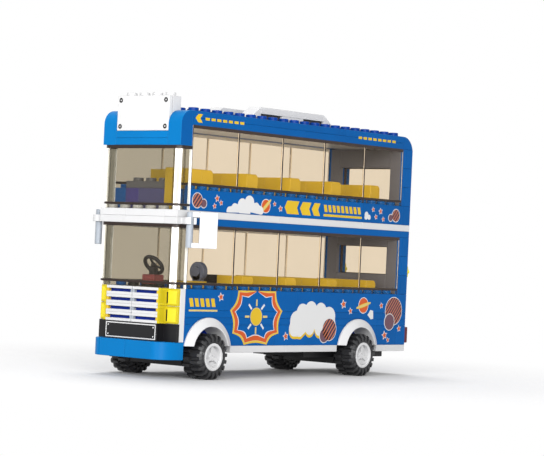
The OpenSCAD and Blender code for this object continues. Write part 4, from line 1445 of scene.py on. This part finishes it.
class Stickers:
    """Thin printed shapes on one side of the bus, in layers so that none lies in another."""

    materials = [STICKER_ORANGE, STICKER_YELLOW, STICKER_CREAM, STICKER_WHITE, STICKER_PLUM,
                 STICKER_DARK, STICKER_SALMON]
    ORANGE, YEL, CREAM, WHI, PLUM, DARK, SALMON = range(7)

    def __init__(self, side):
        self.side = side
        self.sculpt = Sculpt()
        self.place = facing_side(side)

    def shape(self, outline, layer, mat):
        self.sculpt.prism(outline, HALF_W - 0.02, HALF_W + layer * LAYER, self.place, 0, mat, 0)

    def disc(self, x, z, r, layer, mat, squash=1.0):
        self.shape([(x + r * math.cos(t), z + squash * r * math.sin(t)) for t in
                    [2 * math.pi * k / 40 for k in range(40)]], layer, mat)

    def star(self, x, z, r):
        for size, layer, mat in ((1.25 * r, 1, self.WHI), (0.9 * r, 2, self.ORANGE)):
            self.shape([(x + size * (1.0 if k % 2 == 0 else 0.5) * math.sin(math.pi * k / 5 + 0.2),
                         z + size * (1.0 if k % 2 == 0 else 0.5) * math.cos(math.pi * k / 5 + 0.2))
                        for k in range(10)], layer, mat)

    def hatched(self, x, z, r, squash=1.0, plain=False):
        self.disc(x, z, r, 1, self.WHI, squash)
        if plain:
            self.disc(x, z, r - 0.35, 2, self.PLUM, squash)
            return
        self.disc(x, z, r - 0.35, 2, self.DARK, squash)
        inner = r - 0.36
        lines = max(int(inner * 2 / 1.5), 3)
        for k in range(lines):
            d = inner * (2 * (k + 0.5) / lines - 1)
            half = 0.22 * 2 * inner / lines
            outline = []
            for e, sign in ((d - half, 1), (d + half, -1)):
                e = max(min(e, inner), -inner)
                reach = math.sqrt(max(inner ** 2 - e ** 2, 0))
                outline += [(e, -sign * reach), (e, sign * reach)]
            slanted = turned(outline, math.radians(40))
            self.shape([(x + u, z + squash * v) for u, v in slanted], 3, self.SALMON)

    def cloud(self, x, z, bumps, base, layer, mat, drop=0.0):
        """Union of round bumps as seen from (x, z), cut flat at base."""
        outline = []
        for k in range(96):
            t = 2 * math.pi * k / 96
            ux, uz = math.cos(t), math.sin(t)
            reach = 0.5
            for bx, bz, r in bumps:
                along = (bx - x) * ux + (bz - z) * uz
                off = ((bx - x) ** 2 + (bz - z) ** 2) - along ** 2
                if off < r * r:
                    reach = max(reach, along + math.sqrt(r * r - off))
            outline.append((x + ux * reach, max(z + uz * reach, base) - drop))
        self.shape(outline, layer, mat)

    def planet(self, x, z, r, ring_r, tilt):
        self.disc(x, z, r + 0.35, 1, self.WHI)
        self.disc(x, z, r, 2, self.ORANGE)
        for grow, layer, mat in ((0.3, 3, self.YEL), (0.0, 4, self.CREAM)):
            outline = [((ring_r + grow) * math.cos(t), (0.6 + grow) * math.sin(t))
                       for t in [2 * math.pi * k / 36 for k in range(36)]]
            self.shape([(x + u, z + v) for u, v in turned(outline, math.radians(tilt))], layer, mat)

    def arrow(self, tip, length, z, half):
        nose, notch = 1.9, 1.6
        self.shape([(tip, z), (tip - nose, z + half), (tip - length, z + half),
                    (tip - length + notch, z), (tip - length, z - half), (tip - nose, z - half)], 1, self.YEL)

    def bar(self, x0, x1, z0, z1, mat, layer=1, slant=0.0):
        self.shape([(x0, z0), (x1, z0), (x1 + slant, z1), (x0 + slant, z1)], layer, mat)

    def burst(self, x, z, points, bulge):
        """Hollow curves from point to point, in four colours, thin at both ends. The bulge is in mm."""
        steps = 10
        last = (len(points) - 1) * steps

        def line(cut):
            outline = []
            for i in range(last + 1):
                k, t = min(i // steps, len(points) - 2), i / steps
                t -= k
                (x0, z0), (x1, z1) = points[k], points[k + 1]
                px, pz = x0 + (x1 - x0) * t, z0 + (z1 - z0) * t
                size = math.hypot(px - x, pz - z)
                thin = min(1.0, 0.15 + 1.4 * min(i, last - i) / steps)
                hollow = 0 if k in (0, len(points) - 2) else bulge
                flatter = 8 / math.hypot(x1 - x0, z1 - z0)
                pull = hollow * flatter * 4 * t * (1 - t) + cut * thin
                outline.append((px - (px - x) / size * pull, pz - (pz - z) / size * pull))
            return outline
        for cut, wide, mat in ((0.0, 0.8, self.YEL), (0.8, 0.35, self.CREAM), (1.15, 2.3, self.ORANGE),
                               (3.45, 0.45, self.WHI)):
            self.sculpt.band(line(cut), line(cut + wide), HALF_W - 0.02, HALF_W + LAYER, self.place, mat)

    def sun(self, x, z):
        self.disc(x, z, 4.25, 1, self.CREAM)
        self.disc(x, z, 3.9, 2, self.YEL)
        for k in range(8):
            r0, r1, half = 4.9, 8.0, 0.5
            ray = turned([(r0, -half), (r1, -half), (r1, half), (r0, half)], math.radians(45 * k))
            self.shape([(x + u, z + v) for u, v in ray], 1, self.WHI if k % 2 else self.CREAM)

    def take(self, other, layers):
        """Takes over another set of shapes, some layers further out."""
        for i, (x, y, z) in enumerate(other.sculpt.verts):
            if abs(y) > HALF_W:
                other.sculpt.verts[i] = (x, y + self.side * layers * LAYER, z)
        start = len(self.sculpt.verts)
        self.sculpt.verts += other.sculpt.verts
        self.sculpt.faces += [[start + i for i in f] for f in other.sculpt.faces]
        self.sculpt.normals += other.sculpt.normals
        self.sculpt.mats += other.sculpt.mats
        self.sculpt.tones += other.sculpt.tones

    def build(self, name):
        self.sculpt.build(name, "root", "white_plastic", self.materials)


def side_stickers(side):
    s = Stickers(side)
    # Upper band
    s.hatched(-4.9, 68.7, 3.6)
    s.hatched(-9.3, 67.5, 2.2, plain=True)
    for x, z, r in ((-18.4, 70.2, 1.5), (-21.2, 68.4, 1.2), (-16.8, 66.7, 1.2), (-59.4, 69.7, 1.1),
                    (-63.9, 67.7, 1.4)):
        s.star(x, z, r)
    s.planet(-53.0, 68.4, 3.0, 4.6, -42)
    s.cloud(-38.5, 66.0, [(-41.0, 69.4, 3.3), (-36.0, 68.2, 3.0), (-45.8, 67.2, 2.6), (-31.0, 66.2, 2.6),
                          (-49.0, 66.0, 2.2), (-27.4, 65.0, 2.2), (-38.0, 65.6, 4.0)], 64.25, 5, s.WHI)
    s.arrow(-66.9, 10.9, 68.7, 3.15)
    s.arrow(-78.5, 8.5, 68.6, 3.1)
    s.arrow(-87.5, 6.5, 68.6, 3.05)
    s.bar(-127.3, -96.8, 65.6, 66.7, s.YEL)
    for k in range(9):
        x = -97.6 - 3.35 * k
        s.bar(x - 2.2, x, 67.8, 71.2, s.YEL, slant=0.9)
    s.cloud(-132.2, 66.6, [(-131.2, 67.9, 1.5), (-133.4, 66.7, 1.3), (-130.9, 66.6, 1.3)], 65.5, 1, s.WHI)
    for x, z, r in ((-136.6, 70.7, 1.2), (-142.8, 70.1, 1.5), (-139.1, 67.1, 1.2), (-145.2, 66.2, 1.2)):
        s.star(x, z, r)
    s.hatched(-155.8, 68.5, 3.4)
    s.hatched(-151.4, 67.2, 2.0, plain=True)
    # Lower wall
    for k in range(5):
        x = -3.4 - 3.7 * k
        s.bar(x - 2.4, x, 20.9, 24.7, s.YEL, slant=1.0)
    s.bar(-22.0, -2.6, 18.8, 19.6, s.CREAM)
    s.star(-24.1, 25.5, 1.8)
    # Zigzag ring: corners of one half, from its gap at the top down, mirrored about its middle
    middle = -49.8
    half = [(0.9, 28.7), (13.6, 28.7), (18.9, 19.5), (16.7, 8.9), (8.3, 3.6)]
    corners = [(middle - u, v) for u, v in half] + [(middle + u, v) for u, v in half[::-1]]
    s.burst(-49.7, 16.6, corners, 1.9)
    s.sun(-49.7, 16.7)
    bumps = [(-79.6, 15.0, 4.6), (-78.3, 11.3, 4.0), (-84.0, 18.8, 4.4), (-90.5, 19.8, 4.6),
             (-98.0, 19.2, 4.6), (-104.6, 17.0, 4.9), (-106.0, 12.6, 4.2), (-82.5, 10.8, 3.6),
             (-90.0, 11.6, 3.5), (-97.5, 11.3, 3.6)]
    s.cloud(-92.0, 14.8, bumps, 0, 1, s.YEL, drop=1.2)
    s.cloud(-92.0, 14.8, bumps, 0, 2, s.WHI)
    big = Stickers(side)
    big.hatched(-105.2, 10.8, 5.6)
    big.hatched(-101.3, 7.8, 3.6, plain=True)
    s.take(big, 2)
    for x, z, r in ((-72.0, 7.5, 1.8), (-115.8, 23.2, 2.0), (-121.6, 19.9, 1.5), (-146.9, 22.9, 1.4),
                    (-162.6, 11.4, 1.5), (-150.6, 8.0, 2.0), (-153.6, 5.6, 1.2)):
        s.star(x, z, r)
    s.planet(-132.0, 22.8, 3.7, 5.8, -14)
    s.shape([(-135.7, 18.1), (-138.0, 20.6), (-140.2, 20.2), (-140.5, 16.2), (-138.4, 16.0)], 1, s.WHI)
    s.hatched(-157.4, 20.2, 7.2)
    pair = Stickers(side)
    pair.hatched(-154.1, 14.7, 4.3, plain=True)
    s.take(pair, 3)
    # Roof edge
    s.arrow(-1.2, 4.8, 105.6, 1.9)
    for k in range(7):
        s.bar(-8.0 - 4 * k - 2.8, -8.0 - 4 * k, 105.0, 106.2, s.YEL)
    for k in range(8):
        s.bar(-122.0 - 4 * k - 2.8, -122.0 - 4 * k, 105.0, 106.2, s.YEL)
    s.build("left_stickers" if side > 0 else "right_stickers")


side_stickers(1)
side_stickers(-1)

# ---------------------------------------------------------------- CAD nodes that show as they are

for node, material in (("grille_backing", YELLOW), ("plate_carrier", BLACK)):
    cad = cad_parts[node]
    cad.data.materials.clear()
    cad.data.materials.append(material)


# ---------------------------------------------------------------- floor, light and camera

def floor_material():
    n = Nodes("pale_floor")
    shader = n.add("ShaderNodeBsdfPrincipled")
    n.link(n.mix(n.spread(n.noise(3, 2), 0, 1), linear((200, 200, 201)), linear((205, 205, 205))),
           shader.inputs["Base Color"])
    shader.inputs["Roughness"].default_value = 0.9
    shader.inputs["Specular IOR Level"].default_value = 0.1
    # Seen directly or in a reflection, the floor fades into the white backdrop
    path = n.add("ShaderNodeLightPath").outputs
    seen = n.maths("MAXIMUM", path["Is Camera Ray"],
                   n.maths("MAXIMUM", path["Is Glossy Ray"], path["Is Transmission Ray"]))
    white = n.add("ShaderNodeEmission")
    distance = n.add("ShaderNodeVectorMath", operation="LENGTH")
    n.link(n.place, distance.inputs[0])
    fade = n.add("ShaderNodeMapRange", interpolation_type="SMOOTHSTEP")
    fade.inputs["From Min"].default_value = 0.1
    fade.inputs["From Max"].default_value = 0.28
    n.link(distance.outputs["Value"], fade.inputs["Value"])
    mixed = n.add("ShaderNodeMixShader")
    n.link(n.maths("MULTIPLY", fade.outputs["Result"], seen), mixed.inputs[0])
    n.link(shader.outputs[0], mixed.inputs[1])
    n.link(white.outputs[0], mixed.inputs[2])
    n.link(mixed.outputs[0], n.out.inputs["Surface"])
    return n.material


def stage():
    size = 6.0
    mesh = bpy.data.meshes.new("floor")
    corners = [(-size, -size, 0), (size, -size, 0), (size, size, 0), (-size, size, 0)]
    mesh.from_pydata(corners, [], [(0, 1, 2, 3)])
    mesh.materials.append(floor_material())
    floor = bpy.data.objects.new("floor", mesh)
    bpy.context.scene.collection.objects.link(floor)
    floor.location.z = cad_box[0][2]

    world = bpy.data.worlds.new("studio")
    bpy.context.scene.world = world
    world.use_nodes = True
    nodes, links = world.node_tree.nodes, world.node_tree.links
    nodes.clear()
    out = nodes.new("ShaderNodeOutputWorld")
    lit = nodes.new("ShaderNodeBackground")
    lit.inputs["Color"].default_value = (1, 1, 1, 1)
    lit.inputs["Strength"].default_value = 0.68
    seen = nodes.new("ShaderNodeBackground")
    seen.inputs["Color"].default_value = (1, 1, 1, 1)
    seen.inputs["Strength"].default_value = 1.0
    path = nodes.new("ShaderNodeLightPath")
    either = nodes.new("ShaderNodeMath")
    either.operation = "MAXIMUM"
    links.new(path.outputs["Is Camera Ray"], either.inputs[0])
    links.new(path.outputs["Is Glossy Ray"], either.inputs[1])
    any_view = nodes.new("ShaderNodeMath")
    any_view.operation = "MAXIMUM"
    links.new(either.outputs[0], any_view.inputs[0])
    links.new(path.outputs["Is Transmission Ray"], any_view.inputs[1])
    mixed = nodes.new("ShaderNodeMixShader")
    links.new(any_view.outputs[0], mixed.inputs[0])
    links.new(lit.outputs[0], mixed.inputs[1])
    links.new(seen.outputs[0], mixed.inputs[2])
    links.new(mixed.outputs[0], out.inputs["Surface"])


def lamp(name, place, target, size, power):
    data = bpy.data.lights.new(name, "AREA")
    data.shape = "DISK"
    data.size = size
    data.energy = power
    light = bpy.data.objects.new(name, data)
    light.location = place
    light.rotation_euler = (Vector(target) - Vector(place)).to_track_quat("-Z", "Y").to_euler()
    bpy.context.scene.collection.objects.link(light)


def camera():
    """Fitted to the corners of studs and panels: low, far away and with a long lens."""
    place_mm = (683.2, 639.5, 45.0)
    data = bpy.data.cameras.new("camera")
    data.sensor_width = 36
    data.lens = 135.9
    data.clip_end = 50
    view = bpy.data.objects.new("camera", data)
    view.location = Vector(ORIGIN) + Vector(place_mm) * MM
    view.rotation_euler = (1.5847, -0.0456, 2.263)
    bpy.context.scene.collection.objects.link(view)
    bpy.context.scene.camera = view


stage()
lamp("key", place=(1.1, 0.3, 0.36), target=(0, 0, 0.06), size=0.6, power=9)
lamp("side", place=(0.8, 0.95, 0.3), target=(0, 0, 0.06), size=0.7, power=17)
lamp("top", place=(-0.2, -0.25, 1.25), target=(0, 0, 0.05), size=0.6, power=10)
camera()

bpy.context.scene.view_settings.view_transform = "Standard"
